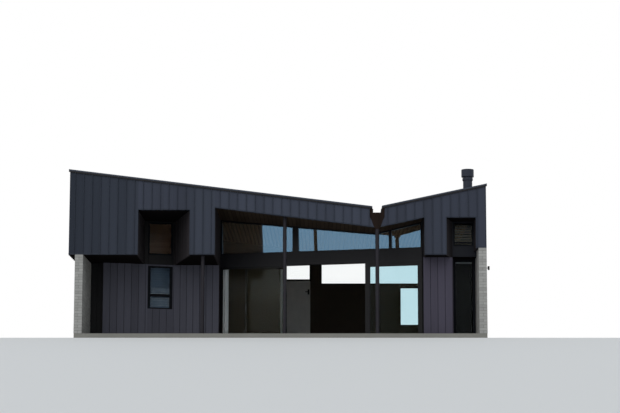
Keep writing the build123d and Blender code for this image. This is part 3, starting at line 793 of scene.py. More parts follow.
@dataclass
class Shape:
    """Faces gathered for one piece."""

    points: list[Vector] = field(default_factory=list)
    faces: list[tuple[int, ...]] = field(default_factory=list)

    def hull(self, lower: list[Vector], upper: list[Vector]) -> None:
        """Closes a prism between two outlines with the same number of points.

        Args:
            lower: Outline at one end, anticlockwise when seen from the other end.
            upper: Outline at the other end.
        """
        base, n = len(self.points), len(lower)
        self.points += [*lower, *upper]
        self.faces.append(tuple(reversed(range(base, base + n))))
        self.faces.append(tuple(range(base + n, base + 2 * n)))
        for i in range(n):
            j = (i + 1) % n
            self.faces.append((base + i, base + j, base + n + j, base + n + i))

    def box(self, x: Span, y: Span, z: Span) -> None:
        """Box between two corners."""
        self.hull(*([Vector((*p, level)) for p in oblong(x, y)] for level in z))

    def bar(self, run: Run, u: Span, v: Span, z: Span) -> None:
        """Box along a wall line."""
        self.hull(*([run.point(*p, level) for p in oblong(u, v)] for level in z))

    def raked(self, x: Span, y: Span, lower: Rake, upper: Rake) -> None:
        """Bar between two butterfly lines, within one side of the valley."""
        self.hull(*([Vector((*p, line.at(p[0]))) for p in oblong(x, y)] for line in (lower, upper)))

    def slat(self, run: Run, u: Span, v: float, z: float, size: Span, tilt: float) -> None:
        """Thin tilted blade along a wall line.

        Args:
            run: Wall line.
            u: Where the blade starts and ends.
            v: Middle of the blade behind the line.
            z: Height of its middle.
            size: Width and thickness of the blade.
            tilt: Its angle to the level, in radians, with the front edge low.
        """
        c, s = math.cos(tilt), math.sin(tilt)
        profile = oblong(*(around(0.0, length / 2) for length in size))
        turned = [(v + a * c - b * s, z + a * s + b * c) for a, b in profile]
        self.hull(*([run.point(end, *p) for p in turned] for end in reversed(u)))

    def sheet(self, rows: list[list[Vector]], closed: bool = False) -> None:
        """Skin through rows of points.

        Args:
            rows: Rows with the same number of points.
            closed: Whether each row is a ring.
        """
        base, wide = len(self.points), len(rows[0])
        self.points += [point for line in rows for point in line]
        for low in range(base, base + (len(rows) - 1) * wide, wide):
            high = low + wide
            for i in range(wide if closed else wide - 1):
                j = (i + 1) % wide
                self.faces.append((low + i, low + j, high + j, high + i))

    def turned(self, centre: Vector, profile: Iterable[Span], sides: int) -> None:
        """Closed solid turned about an upright line.

        Args:
            centre: Point on the line.
            profile: Radius and height pairs from the bottom up.
            sides: Number of sides.
        """
        base = len(self.points)
        self.sheet([[centre + Vector((*p, z)) for p in ring(radius, sides)]
                    for radius, z in profile], closed=True)
        last = len(self.points) - sides
        self.faces.append(tuple(reversed(range(base, base + sides))))
        self.faces.append(tuple(range(last, last + sides)))

    def place(self, name: str, finish: Finish, smooth: bool = False) -> bpy.types.Object:
        """Makes the object and gives it its finish.

        Args:
            name: Name of the object.
            finish: Its finish.
            smooth: Whether the faces are shaded smooth.

        Returns:
            The new object.
        """
        mesh = bpy.data.meshes.new(name)
        mesh.from_pydata([tuple(p) for p in self.points], [], self.faces)
        mesh.polygons.foreach_set("use_smooth", [smooth] * len(self.faces))
        mesh.update()
        mesh.materials.append(finish.material())
        made = bpy.data.objects.new(name, mesh)
        bpy.context.scene.collection.objects.link(made)
        return made

    def piece(self, name: str, finish: Finish, slot: Slot, body: Body = Body.HOUSE,
              bevel: float = 0.0, smooth: bool = False) -> bpy.types.Object:
        """Makes a piece of the house and lets it ride.

        Args:
            name: Name of the piece.
            finish: Its finish.
            slot: Material slot of the record; not used.
            body: Body that it moves with.
            bevel: Width of the softened edges, or 0.
            smooth: Whether the faces are shaded smooth.

        Returns:
            The new object.
        """
        made = self.place(name, finish, smooth)
        if bevel:
            soften = made.modifiers.new("soft_edges", "BEVEL")
            soften.width, soften.segments = bevel, 2
        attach(made, body.value)
        logging.info("%s: %d faces", name, len(self.faces))
        return made


def ring(radius: float, sides: int) -> list[Span]:
    """Points of a regular polygon about the origin."""
    angles = [2 * math.pi * i / sides for i in range(sides)]
    return [(radius * math.cos(angle), radius * math.sin(angle)) for angle in angles]


# Finishes of this house

SEAM_FIRST = 0.424             # first seam from the left edge of the cladding
SEAM_PITCH = 0.2588
LEFT_SEAMS = 16                # seams from there to the first one of the fascia
FASCIA_SEAM_FIRST = SEAM_FIRST + LEFT_SEAMS * SEAM_PITCH
FASCIA_SEAM_PITCH = 0.2669     # over the big opening
RIGHT_SEAM_FIRST = 0.1745      # first seam right of the gutter
RIGHT_SEAM_PITCH = 0.2717
PAINTED_LIGHT_WIDTH = 5.0             # the left cladding turns paler over this width: painted light


@dataclass(frozen=True)
class Palette:
    """Every finish of the house."""

    house: House

    # Steel sheet: the recess's lower panel, near black as painted shade; seams and trims, darker
    # than the pans as painted shade; gutter and surrounds; rain head, its dark brown partly painted
    # shade
    # near black: painted shade on the recess's lower panel
    recess: Finish = CoatedSteel("steel_recess_panel_painted_shade", "#0f1219", "#161a23", 0.5)
    # seams and trims a little darker than the pans: painted shade along them
    seams: Finish = CoatedSteel("prepainted_steel_seams_painted_shade", "#272c36", "#343a46", 0.45)
    flashing: Finish = CoatedSteel("folded_steel_flashing", "#151416", "#201f21", 0.42)
    # dark brown: partly the rain head's own colour, partly painted shade in the valley
    rain_head: Finish = CoatedSteel("folded_steel_rain_head_partly_painted_shade", "#201a17", "#2d2420", 0.6,
                                    specular=0.0)

    # Brick, mortar, concrete, and the wrap behind the open joints of the boards
    brick: Finish = Mineral("pale_grey_pressed_brick", "#8b8a86", "#b0afaa", 0.9, cloud_mm=120,
                            single=True)
    mortar: Finish = Mineral("grey_struck_mortar", "#6c6b68", "#85847f", 0.95, cloud_mm=200)
    concrete: Finish = Mineral("steel_floated_concrete", "#77766f", "#918f88", 0.75, cloud_mm=700,
                               grit_depth_mm=0.5)
    backing: Finish = Mineral("black_wall_wrap", "#0d0d10", "#17171b", 0.8)

    # Hardwood boards of the lower walls: weathered, right of the opening, and in the niche, where
    # near black is painted shade
    dark_boards: Finish = Boards("charcoal_stained_hardwood", "#3a3a42", "#575762", 0.6)
    violet_boards: Finish = Boards("violet_stained_hardwood", "#35323c", "#4f4b59", 0.6)
    # near black: painted shade in the niche
    niche_boards: Finish = Boards("niche_hardwood_painted_shade", "#0d0d0f", "#18181b", 0.6)

    # Linings of the reveals, undersides of the hood, shutter blades and louvres
    lining: Finish = Boards("dark_stained_lining_boards", "#2e2b2d", "#474345", 0.5, specular=0.0,
                            pitch=0.135, across=Axis.Y)
    soffit_boards: Finish = Boards("dark_stained_soffit_boards", "#151314", "#201d1d", 0.55,
                                   specular=0.0, length=Axis.X, across=Axis.Y, pitch=0.135)
    shutter: Finish = Boards("cedar_shutter_blades", "#a2765c", "#c79c80", 0.5, length=Axis.X)
    louvre: Finish = Boards("straw_timber_louvres", "#a29482", "#c4b7a7", 0.5, length=Axis.X)

    # Coated metal: panels round the recess's window, black as painted shade; posts; transom beam
    # black: painted shade round the recess's window
    shadow_panel: Finish = Coating("black_panel_painted_shade", "#0b0b0d", "#131316", 0.5)
    steel: Finish = Coating("enamelled_structural_steel", "#1d1b20", "#29272d", 0.4)
    beam: Finish = Coating("enamelled_transom_steel", "#131316", "#1c1c20", 0.45)

    # Frames of the glass wall and back windows with the curtain rail, of the small windows, track
    aluminium: Finish = Coating("powder_coated_aluminium", "#09090c", "#121216", 0.38)
    window_frame: Finish = Coating("matt_black_window_frames", "#0b0d11", "#15181d", 0.5,
                                   specular=0.04)
    track: Finish = Coating("anodised_track", "#3a3b3f", "#57585c", 0.3)

    # Flue, lamp with the beads and the lever, back door, opal lens, slats of both blinds
    flue: Finish = Coating("flue_enamel", "#282b34", "#393d48", 0.5)
    lamp: Finish = Coating("lamp_enamel", "#0c0c0e", "#17171a", 0.35)
    door_enamel: Finish = Coating("pale_grey_door_enamel", "#b5b5b3", "#c9c9c6", 0.35)
    lens: Finish = Coating("opal_glass", "#d9d8d0", "#eeede6", 0.25)
    blind: Finish = Coating("blue_grey_blind_slats", "#7488a0", "#8ea3bb", 0.45)
    dark_blind: Finish = Coating("olive_black_blind_slats", "#2c2d2a", "#3a3b37", 0.5)

    # Glass: the clerestory's mirrors softly, in a painted blue reflection of the sky, and shows the
    # ceiling; doors, back and small windows
    # the blue of the mirror layer is a painted reflection of the sky
    clerestory_pane: Finish = Pane("glass_with_painted_sky_reflection", "#d4d0c8", "#e2ded6", 0.02,
                                   glare="#404448", painted_reflection="#7cabce", mirror=0.45, veil=0.12,
                                   dust="#baa285")
    clear_pane: Finish = Pane("pale_door_glass", "#bfe2ec", "#cae9f1", 0.0, glare="#3a3d3e",
                              veil=0.022, dust="#9a8a68", tint_from=1.5)
    window_pane: Finish = Pane("clear_window_glass", "#f4f8f8", "#fbfdfd", 0.0, glare="#8c9094")
    grey_pane: Finish = Pane("grey_tinted_glass", "#bcc3c6", "#ccd2d4", 0.01, glare="#4a4d50",
                             wave_depth_mm=0.01)

    linen: Finish = Cloth("washed_linen", "#eff5fc", "#ffffff", 0.85)

    def pans(self, name: str, deep: str, pale: str, first: float, pitch: float,
             **more: Axis | Span) -> CoatedSteel:
        """Prepainted steel with a tone for each pan."""
        return CoatedSteel(name, deep, pale, 0.5, first=first, pitch=pitch, **more)

    @property
    def cladding_left(self) -> Finish:
        """Front cladding left of the valley.

        Returns:
            Steel that is paler towards the right: painted light.
        """
        edge = self.house.left[0]
        return self.pans("prepainted_steel_pans_left", "#1a212c", "#3d424e", edge + SEAM_FIRST,
                         SEAM_PITCH, bleached=(edge, edge + PAINTED_LIGHT_WIDTH))

    @property
    def cladding_fascia(self) -> Finish:
        """Fascia over the big opening."""
        return self.pans("prepainted_steel_pans_fascia", "#2f3440", "#3f4451",
                         self.house.left[0] + FASCIA_SEAM_FIRST, FASCIA_SEAM_PITCH)

    @property
    def cladding_right(self) -> Finish:
        """Front cladding right of the valley."""
        return self.pans("prepainted_steel_pans_right", "#2c303b", "#3a3f4c",
                         self.house.gutter[1] + RIGHT_SEAM_FIRST, RIGHT_SEAM_PITCH)

    @property
    def cladding_side(self) -> Finish:
        """Cladding of the two sides."""
        return self.pans("prepainted_steel_pans_side", "#2f343e", "#3d434f", self.house.front,
                         SEAM_PITCH, axis=Axis.Y)

    @property
    def roof(self) -> Finish:
        """Roof sheet."""
        return self.pans("prepainted_steel_roof", "#353a44", "#474d59", self.house.front,
                         RoofSeams.pitch, axis=Axis.Y)

    @property
    def back(self) -> Finish:
        """Back wall.

        Returns:
            Dark plaster inside and steel pans outside.
        """
        steel = self.pans("back_steel", "#2f343e", "#3d434f", self.house.left[0] + SEAM_FIRST,
                          SEAM_PITCH)
        return Mineral("back_wall_plaster_and_steel", "#3a342d", "#453d35", 0.85, outer=steel)

    @property
    def ceiling_boards(self) -> Finish:
        """Raked ceilings.

        Returns:
            Boards, oiled brown, painted darker outside as shade and far paler behind the glass wall
            as light.
        """
        lit_indoors = PaintedLightIndoors(self.house.glass_wall, "#e6ad7e", "#ffd9ae", 0.15)
        return Boards("oiled_ceiling_boards_painted_light_and_shade", "#342c26", "#4c4138", 0.5, specular=0.0,
                      length=Axis.Y, pitch=0.125, lit_indoors=lit_indoors)


# Sub-assemblies

@dataclass
class Assembly:
    """Pieces that belong together, with the lines and finishes that they follow."""

    house: House
    palette: Palette

    def build(self) -> None:
        """Builds the pieces; each sub-assembly has its own."""
        raise NotImplementedError


@dataclass
class PackedNodes(Assembly):
    """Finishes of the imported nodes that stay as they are."""

    def build(self) -> None:
        """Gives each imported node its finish."""
        p = self.palette
        for finish, nodes in (
            (p.concrete, ["floor_slab"]), (p.mortar, ["brick_walls"]),
            (p.cladding_side, ["upper_side_walls"]), (p.back, ["back_wall"]),
            (p.cladding_left, ["screen_panels_left"]), (p.cladding_fascia, ["fascia_left"]),
            (p.cladding_right, ["screen_panels_right", "fascia_right", "recess_head_screens"]),
            # the recess's lower panel is darkened as painted shade
            (p.recess, ["louvre_wall"]),
            (p.backing, ["front_wall_left", "front_wall_mid", "niche_wall", "front_wall_right",
                         "return_walls"]),
            (p.lining, ["recess_reveals_left", "recess_reveals_right", "opening_reveals"]),
            (p.soffit_boards, ["recess_ceilings", "hood_soffits"]),
            (p.ceiling_boards, ["ceiling_left", "ceiling_right"]),
            (p.roof, ["roof_left", "roof_right"]), (p.flashing, ["box_gutter"]),
            (p.rain_head, ["rain_head"]), (p.steel, ["verandah_posts", "valley_post"]),
            (p.beam, ["transom_beam"]),
            (p.aluminium, ["clerestory_frame", "fixed_door_frames", "first_leaf_frame",
                           "second_leaf_frame", "back_window_frames", "curtain_rail"]),
            (p.window_frame, ["left_window_frames", "right_window_frames"]),
            (p.clerestory_pane, ["clerestory_glass"]), (p.window_pane, ["back_window_glass"]),
            (p.grey_pane, ["left_window_glass", "right_window_glass"]),
            (p.clear_pane, ["fixed_door_glass", "first_leaf_glass", "second_leaf_glass"]),
            (p.track, ["door_track"]), (p.flue, ["flue_pipe", "flue_cap"]),
            (p.lamp, ["wall_light"]),
        ):
            for name in nodes:
                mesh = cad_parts[name].data
                mesh.materials.clear()
                mesh.materials.append(finish.material())
                logging.info("%s: %s", name, finish.name)


@dataclass
class FrontCladding(Assembly):
    """Seams, edge trims and capping drips on the front of the hood, and the rain head's apron."""

    seam: Span = (0.014, 0.030)    # width and height
    trim: Span = (0.028, 0.008)    # width and height
    drip_height: float = 0.045
    drip_face: Span = (-0.034, -0.030)
    drip_inset: float = 0.001      # from the roof's edges
    bevel: float = 0.003
    apron_half: float = 0.222      # half width beside the gutter
    apron_face: Span = (-0.010, -0.002)
    apron_taper: tuple[Span, ...] = (   # depth below the rain head's top and half width
        (0.0, 0.222), (0.14, 0.222), (0.235, 0.170), (0.415, 0.110), (0.50, 0.065))

    def build(self) -> None:
        """Builds the seams, the trims, the drips and the apron."""
        self.seams()
        self.trims()
        self.drips()
        self.apron()

    def seams(self) -> None:
        """One upright seam at every pan."""
        h, shape = self.house, Shape()
        width, height = self.seam
        left = [h.left[0] + SEAM_FIRST + SEAM_PITCH * i for i in range(-1, LEFT_SEAMS)]
        fascia = row(h.left[0] + FASCIA_SEAM_FIRST, FASCIA_SEAM_PITCH, h.gutter[0])
        right = row(h.gutter[1] + RIGHT_SEAM_FIRST, RIGHT_SEAM_PITCH, h.right[-1])
        for x in left + fascia + right:
            foot = next(line.at(x) for start, end, line in h.spans() if start <= x <= end)
            sides = around(x, width / 2)
            top = min(h.cladding_top.at(side) for side in sides)
            shape.box(sides, (h.front - height, h.front), (foot, top))
        shape.piece("front_seams", self.palette.seams, Slot.CLADDING, bevel=self.bevel)

    def trims(self) -> None:
        """Folded trims along the lower edges and up the corners."""
        h, shape = self.house, Shape()
        w, height = self.trim
        y = (h.front - height, h.front)
        for start, end, foot in h.spans():
            shape.raked((start, end), y, foot, foot.moved(w))
        low, right_low, fascia = h.soffit + w, h.right_soffit + w, h.fascia_edge
        left_head, right_head = h.left_head + w, h.right_head + w
        for x, side, foot, top in (
            (h.left[0], w, low, h.cladding_top.at(h.left[0])), (h.left[1], -w, low, left_head),
            (h.left[2], w, low, left_head), (h.left[3], -w, low, fascia.at(h.left[3])),
            (h.right[0], w, low, fascia.at(h.right[0])), (h.right[1], -w, low, right_head),
            (h.right[2], w, right_low, right_head),
            (h.right[3], -w, right_low, h.cladding_top.at(h.right[3])),
        ):
            shape.box(beside(x, side), y, (foot, top))
        shape.piece("front_trims", self.palette.seams, Slot.FLASHING)

    def drips(self) -> None:
        """Folded drips that hang from the roof's edge."""
        h, shape = self.house, Shape()
        left = (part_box("roof_left")[0].x + self.drip_inset, h.gutter[0])
        right = (h.gutter[1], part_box("roof_right")[1].x - self.drip_inset)
        for x in (left, right):
            shape.raked(x, shifted(self.drip_face, h.front),
                        h.cladding_top.moved(-self.drip_height), h.cladding_top)
        shape.piece("capping_drips", self.palette.flashing, Slot.FLASHING)

    def apron(self) -> None:
        """Folded apron round the rain head: strips beside the gutter and a plate that narrows, in
        the rain head's dark finish, partly painted shade that widens the dark V.
        """
        h, shape = self.house, Shape()
        middle, top = sum(h.gutter) / 2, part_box("rain_head")[1].z
        y = shifted(self.apron_face, h.front)
        outer = around(middle, self.apron_half)
        level = Rake(middle, top, 0.0, 0.0)
        for x in ((outer[0], h.gutter[0]), (h.gutter[1], outer[1])):
            shape.raked(x, y, level, h.cladding_top)
        for (high, wide), (low, narrow) in zip(self.apron_taper, self.apron_taper[1:]):
            outline = ((-wide, high), (wide, high), (narrow, low), (-narrow, low))
            shape.hull(*([Vector((middle + x, at, top - z)) for x, z in outline] for at in y))
        shape.piece("rain_head_apron", self.palette.rain_head, Slot.FLASHING)


@dataclass
class SideAndBackCladding(Assembly):
    """Seams on the two sides and the back, the side soffit and the back windows' surrounds."""

    seam: Span = (0.014, 0.030)    # width and height
    foot_trim: Span = (0.014 / 3, 0.040)   # thickness and height
    soffit_thickness: float = 0.006
    soffit_inset: tuple[Span, Span] = ((0.004, 0.001), (0.02, 0.01))   # of its four edges
    surround: Span = (0.040, 0.012)    # width and height
    head_drop: float = 0.045       # high window heads below the fascia line
    low_window: float = 2.0        # windows with a higher sill than this have raked heads
    left_overhang: float = 0.3     # seams nearer to the left brick wall stop at the soffit

    def build(self) -> None:
        """Builds the side seams and soffit, the back seams and the window surrounds."""
        self.sides()
        self.soffit()
        self.back_seams()
        self.surrounds()

    def sides(self) -> None:
        """Upright seams on both sides of the hood, and a flat trim along their feet."""
        h, shape = self.house, Shape()
        width, height = self.seam
        walls = ((h.left[0], -1, h.soffit), (h.right[-1], 1, h.right_soffit))
        for y in row(h.front + SEAM_PITCH, SEAM_PITCH, h.back):
            for x, way, foot in walls:
                shape.box(beside(x, way * height), around(y, width / 2),
                          (foot, h.cladding_top.at(x)))
        for x, way, foot in walls:
            shape.box(beside(x, way * self.foot_trim[0]), (h.front, h.back),
                      (foot, foot + self.foot_trim[1]))
        shape.piece("side_seams", self.palette.seams, Slot.CLADDING)

    def soffit(self) -> None:
        """Boards under the left side, between the cladding and the brick wall."""
        h, shape = self.house, Shape()
        (left, right), (front, back) = self.soffit_inset
        shape.box((h.left[0] + left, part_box("brick_walls")[0].x - right),
                  (h.front + front, h.back - back), (h.soffit - self.soffit_thickness, h.soffit))
        shape.piece("side_soffit", self.palette.soffit_boards, Slot.DARK_TIMBER)

    def windows(self) -> list[tuple[Span, float, Rake]]:
        """Back windows, whose heads follow the ceiling where the sill is high.

        Returns:
            Width, sill and line of the head of each window.
        """
        raked, found = self.house.fascia_edge.moved(-self.head_drop), []
        for points in solids("back_window_frames"):
            sill, top = extent(points, Axis.Z)
            head = raked if sill > self.low_window else Rake(raked.valley, top, 0.0, 0.0)
            found.append((extent(points, Axis.X), sill, head))
        return found

    def back_seams(self) -> None:
        """Upright seams on the back wall, cut round the windows."""
        h, shape = self.house, Shape()
        half, s = self.seam[0] / 2, self.surround[0]
        wall, brick_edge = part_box("back_wall"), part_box("brick_walls")[0].x
        gutter = grown(h.gutter, half)
        first = h.left[0] + SEAM_FIRST - SEAM_PITCH
        for x in row(first, SEAM_PITCH, wall[1].x):
            if x <= wall[0].x or gutter[0] < x < gutter[1]:
                continue
            foot = h.floor if x > brick_edge + self.left_overhang else h.soffit
            gaps = [(sill - s, head.at(x) + s) for width, sill, head in self.windows()
                    if width[0] - s - half < x < width[1] + s + half]
            for z in clear_of((foot, h.cladding_top.at(x)), gaps):
                shape.box(around(x, half), (h.back, h.back + self.seam[1]), z)
        shape.piece("back_seams", self.palette.seams, Slot.CLADDING)

    def surrounds(self) -> None:
        """Folded surround of each back window."""
        shape, s = Shape(), self.surround[0]
        y = (self.house.back, self.house.back + self.surround[1])
        for x, sill, head in self.windows():
            wide = grown(x, s)
            shape.box(wide, y, (sill - s, sill))
            bend = [head.valley] if wide[0] < head.valley < wide[1] else []
            ends = [wide[0], *bend, wide[1]]
            for part in zip(ends, ends[1:]):
                shape.raked(part, y, head, head.moved(s))
            for jamb, edge in (((wide[0], x[0]), x[0]), ((x[1], wide[1]), x[1])):
                shape.box(jamb, y, (sill, head.at(edge)))
        shape.piece("back_window_surrounds", self.palette.flashing, Slot.FLASHING)


@dataclass
class RoofSeams(Assembly):
    """Upstanding seams on the two roof slopes."""

    pitch: float = 0.4
    size: Span = (0.012, 0.028)    # width and height
    set_in: float = 0.25           # first seam from the front edge
    gaps: Point = (0.06, 0.03, 0.1)    # at the high ends, the gutter and the back edge

    def build(self) -> None:
        """Builds the seams of both slopes."""
        h, shape = self.house, Shape()
        high, low, back = self.gaps
        (start, corner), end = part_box("roof_left"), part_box("roof_right")[1]
        slopes = ((start.x + high, h.gutter[0] - low), (h.gutter[1] + low, end.x - high))
        width, height = self.size
        for y in row(h.front + self.set_in, self.pitch, corner.y - back):
            for x in slopes:
                shape.raked(x, (y, y + width), h.roof_top, h.roof_top.moved(height))
        shape.piece("roof_seams", self.palette.roof, Slot.ROOF)


@dataclass
class Brickwork(Assembly):
    """Bricks of the two end walls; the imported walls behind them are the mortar."""

    course: float = 0.086
    length: float = 0.230
    joint: float = 0.010
    proud: float = 0.006

    def build(self) -> None:
        """Lays both walls."""
        shape = Shape()
        for wall in solids("brick_walls"):
            self.lay(shape, *(extent(wall, axis) for axis in Axis))
        shape.piece("brick_courses", self.palette.brick, Slot.BRICK)

    def lay(self, shape: Shape, x: Span, y: Span, z: Span) -> None:
        """Lays one wall in stretcher bond, with paired headers at its ends.

        Args:
            shape: Gathers the bricks.
            x: Faces of the wall.
            y: Its front and back ends.
            z: Its foot and top.
        """
        rows = round((z[1] - z[0]) / self.course)
        step = (z[1] - z[0]) / rows
        whole, middle = grown(x, self.proud), around(sum(x) / 2, self.joint / 2)
        for course in range(rows):
            low = z[0] + course * step + self.joint / 2
            height = (low, low + step - self.joint)
            start = y[0] - (self.length / 2 if course % 2 else 0.0)
            while start < y[1] - self.joint:
                first, last = start <= y[0], start + self.length >= y[1]
                brick = (y[0] - self.proud if first else start + self.joint,
                         y[1] + self.proud if last else start + self.length)
                if (first or last) and not course % 2:
                    shape.box((whole[0], middle[0]), brick, height)
                    shape.box((middle[1], whole[1]), brick, height)
                elif brick[1] - brick[0] > self.joint:
                    shape.box(whole, brick, height)
                start += self.length


@dataclass
class WallBoards(Assembly):
    """Stained upright boards with open joints on the lower walls, and the recess's panels."""

    pitch: float = 0.215
    gap: float = 0.012
    thickness: float = 0.018
    reveal: float = 0.004          # boards stop this far from a window frame's edge
    foot_gap: float = 0.01
    bevel: float = 0.003

    def build(self) -> None:
        """Boards every timber wall."""
        h, p = self.house, self.palette
        windows = [(h.left_wall.reach(s), extent(s, Axis.Z)) for s in solids("left_window_frames")]
        self.wall("left_wall_boards", p.dark_boards, [h.left_wall], windows)
        # near-black boards in the niche: painted shade
        self.wall("niche_boards", p.niche_boards, [h.niche_wall])
        self.recess_panels(windows)
        self.wall("mid_wall_boards", p.dark_boards, [h.mid_wall])
        self.wall("right_wall_boards", p.violet_boards, [h.right_wall, h.side_return])

    def wall(self, name: str, finish: Finish, runs: list[Run],
             windows: Iterable[tuple[Span, Span]] = ()) -> None:
        """Boards some wall lines, cut round their windows.

        Args:
            name: Name of the piece.
            finish: Its finish.
            runs: Wall lines.
            windows: Widths and heights to leave open.
        """
        shape = Shape()
        holes = [(grown(width, self.reveal), z) for width, z in windows]
        for run in runs:
            count = max(1, round(run.length / self.pitch))
            step = run.length / count
            for i in range(count):
                u = (i * step + self.gap / 2, (i + 1) * step - self.gap / 2)
                edges = [edge for width, _ in holes for edge in width if u[0] < edge < u[1]]
                cuts = sorted({*u, *edges})
                for a, b in zip(cuts, cuts[1:]):
                    gaps = [z for width, z in holes if width[0] < (a + b) / 2 < width[1]]
                    height = (self.house.floor + self.foot_gap, self.house.soffit)
                    for z in clear_of(height, gaps):
                        shape.bar(run, (a, b), (-self.thickness, 0.0), z)
        shape.piece(name, finish, Slot.DARK_TIMBER)

    def recess_panels(self, windows: list[tuple[Span, Span]]) -> None:
        """Folded panels on the wall above the soffit line, round the recess's upper window, black
        as painted shade.

        Args:
            windows: Widths and heights of the wall's windows.
        """
        h, shape, wall = self.house, Shape(), self.house.left_wall
        width, z = max(windows, key=lambda w: w[1][0])
        opening, (sill, head) = grown(width, self.reveal), grown(z, self.reveal)
        low, high = h.soffit + self.gap, h.left_head
        start = (h.left[1] - wall.start.x) / wall.along.x
        for u in ((start, opening[0]), (opening[1], wall.length)):
            shape.bar(wall, u, (-self.thickness, 0.0), (low, high))
        for height in ((low, sill), (head, high)):
            shape.bar(wall, grown(opening, -self.gap), (-self.thickness, 0.0), height)
        shape.piece("recess_panels", self.palette.shadow_panel, Slot.CLADDING, bevel=self.bevel)


@dataclass
class BackDoor(Assembly):
    """Panel of the back door, inside and under the first high window, with its lever."""

    side_gap: float = 0.02
    foot_gap: float = 0.005
    head_gap: float = 0.03
    thickness: float = 0.03
    bevel: float = 0.004
    lever_drop: float = 0.40       # below the window's sill
    lever_bevel: float = 0.002
    lever: tuple[tuple[Span, Span, float], ...] = (   # x from the door's edge, y, half height
        ((-0.110, -0.050), (-0.038, -0.030), 0.090), ((-0.190, -0.060), (-0.075, -0.060), 0.015),
        ((-0.088, -0.072), (-0.065, -0.036), 0.008))

    def build(self) -> None:
        """Builds the panel and the lever's plate, grip and spindle."""
        window = solids("back_window_frames")[1]
        x, sill = extent(window, Axis.X), extent(window, Axis.Z)[0]
        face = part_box("back_wall")[0].y
        panel, lever = Shape(), Shape()
        panel.box(grown(x, -self.side_gap), (face - self.thickness, face),
                  (self.house.floor + self.foot_gap, sill - self.head_gap))
        panel.piece("back_door_panel", self.palette.door_enamel, Slot.FRAMES, bevel=self.bevel)
        for width, depth, half in self.lever:
            lever.box(shifted(width, x[1]), shifted(depth, face),
                      around(sill - self.lever_drop, half))
        lever.piece("back_door_lever", self.palette.lamp, Slot.FRAMES, bevel=self.lever_bevel)


@dataclass(frozen=True)
class Blades:
    """One kind of blade: distance between blades, width, and angle to the level in radians."""

    pitch: float
    width: float
    tilt: float


@dataclass
class WindowFittings(Assembly):
    """Blinds, shutters and louvres behind the small windows, a pale rail and glazing beads."""

    blind: Blades = Blades(0.075, 0.078, 1.25)
    tall_blind: Blades = Blades(0.050, 0.064, 1.25)
    shutter: Blades = Blades(0.050, 0.052, 1.2)
    louvre: Blades = Blades(0.078, 0.082, 0.9)
    blade_thickness: float = 0.004
    strip_half: float = 0.006      # half width of the upright strips that hold the blades
    clearance: float = 0.100       # front of the left window's blades behind the wall line
    set_back: float = 0.035        # middle of the right windows' blades behind their frames
    left_inset: Point = (0.03, 0.05, 0.03)     # from the frame's sides, foot and head
    louvre_inset: Point = (0.05, 0.05, 0.035)
    tall_inset: Point = (0.11, 0.06, 0.01)
    rail_inset: float = 0.1
    rail_depth: Span = (0.01, 0.03)
    rail_drop: Span = (-0.125, -0.075)     # foot and head, from the tall window's head
    bead: Point = (0.042, 0.008, 0.001)    # width, depth and bevel of the beads

    def build(self) -> None:
        """Builds every blade, the beads and the rail."""
        h, p = self.house, self.palette
        low, high = sorted(solids("left_window_frames"), key=lambda s: extent(s, Axis.Z)[0])
        for name, points, kind, finish in (("lower_blind", low, self.blind, p.blind),
                                           ("upper_shutter", high, self.shutter, p.shutter)):
            self.blades(name, finish, kind, h.left_wall, h.left_wall.reach(points),
                        self.clearance + kind.width / 2, extent(points, Axis.Z), self.left_inset)
        self.beads(low)
        upper, tall = sorted(solids("right_window_frames"), key=lambda s: -extent(s, Axis.Z)[0])
        run = level_run((h.left[0], h.right[-1]), extent(upper, Axis.Y)[0])
        self.blades("recess_louvres", p.louvre, self.louvre, run, run.reach(upper),
                    run.across.reach(upper)[1] + self.set_back, extent(upper, Axis.Z),
                    self.louvre_inset)
        rail, (x, y, z) = Shape(), (extent(tall, axis) for axis in Axis)
        height = shifted(self.rail_drop, z[1])
        rail.box(grown(x, -self.rail_inset), shifted(self.rail_depth, y[1]), height)
        rail.piece("blind_head_rail", p.linen, Slot.CURTAIN)
        self.blades("tall_window_blind", p.dark_blind, self.tall_blind, run, run.reach(tall),
                    run.across.reach(tall)[1] + self.set_back, (h.floor, height[0]),
                    self.tall_inset)

    def beads(self, frame_points: list[Vector]) -> None:
        """Beads at both sides of the lower left window's panes and along the top of its transom.

        Args:
            frame_points: Corners of the window's frame.
        """
        run, shape = self.house.left_wall, Shape()
        head = extent(frame_points, Axis.Z)[1]
        panes = [pane for pane in solids("left_window_glass") if extent(pane, Axis.Z)[1] < head]
        width, depth, bevel = self.bead
        back = run.across.reach(panes[-1])[0]
        face = (back - depth, back)
        for pane in panes:
            u, z = run.reach(pane), extent(pane, Axis.Z)
            for side in (beside(u[0], width), beside(u[1], -width)):
                shape.bar(run, side, face, z)
        transom = max(extent(pane, Axis.Z)[0] for pane in panes)
        shape.bar(run, grown(run.reach(panes[0]), -width), face, beside(transom, width))
        shape.piece("lower_window_beads", self.palette.window_frame, Slot.FRAMES, bevel=bevel)

    def blades(self, name: str, finish: Finish, kind: Blades, run: Run, u: Span, v: float,
               z: Span, inset: Point) -> None:
        """A stack of equal blades, with an upright strip at both ends.

        Args:
            name: Name of the piece.
            finish: Its finish.
            kind: The blades; their pitch is rounded so that they fill the height.
            run: Wall line behind which they stand.
            u: Sides of the window.
            v: Middle of the blades behind the line.
            z: Foot and head of the window.
            inset: How far the stack stays from the sides, the foot and the head.
        """
        shape = Shape()
        u, z = grown(u, -inset[0]), (z[0] + inset[1], z[1] - inset[2])
        count = round((z[1] - z[0]) / kind.pitch)
        step = (z[1] - z[0]) / count
        for i in range(count):
            shape.slat(run, u, v, z[0] + (i + 0.5) * step, (kind.width, self.blade_thickness),
                       kind.tilt)
        for end in u:
            shape.bar(run, around(end, self.strip_half), around(v, kind.width / 4), z)
        shape.piece(name, finish, Slot.FRAMES)


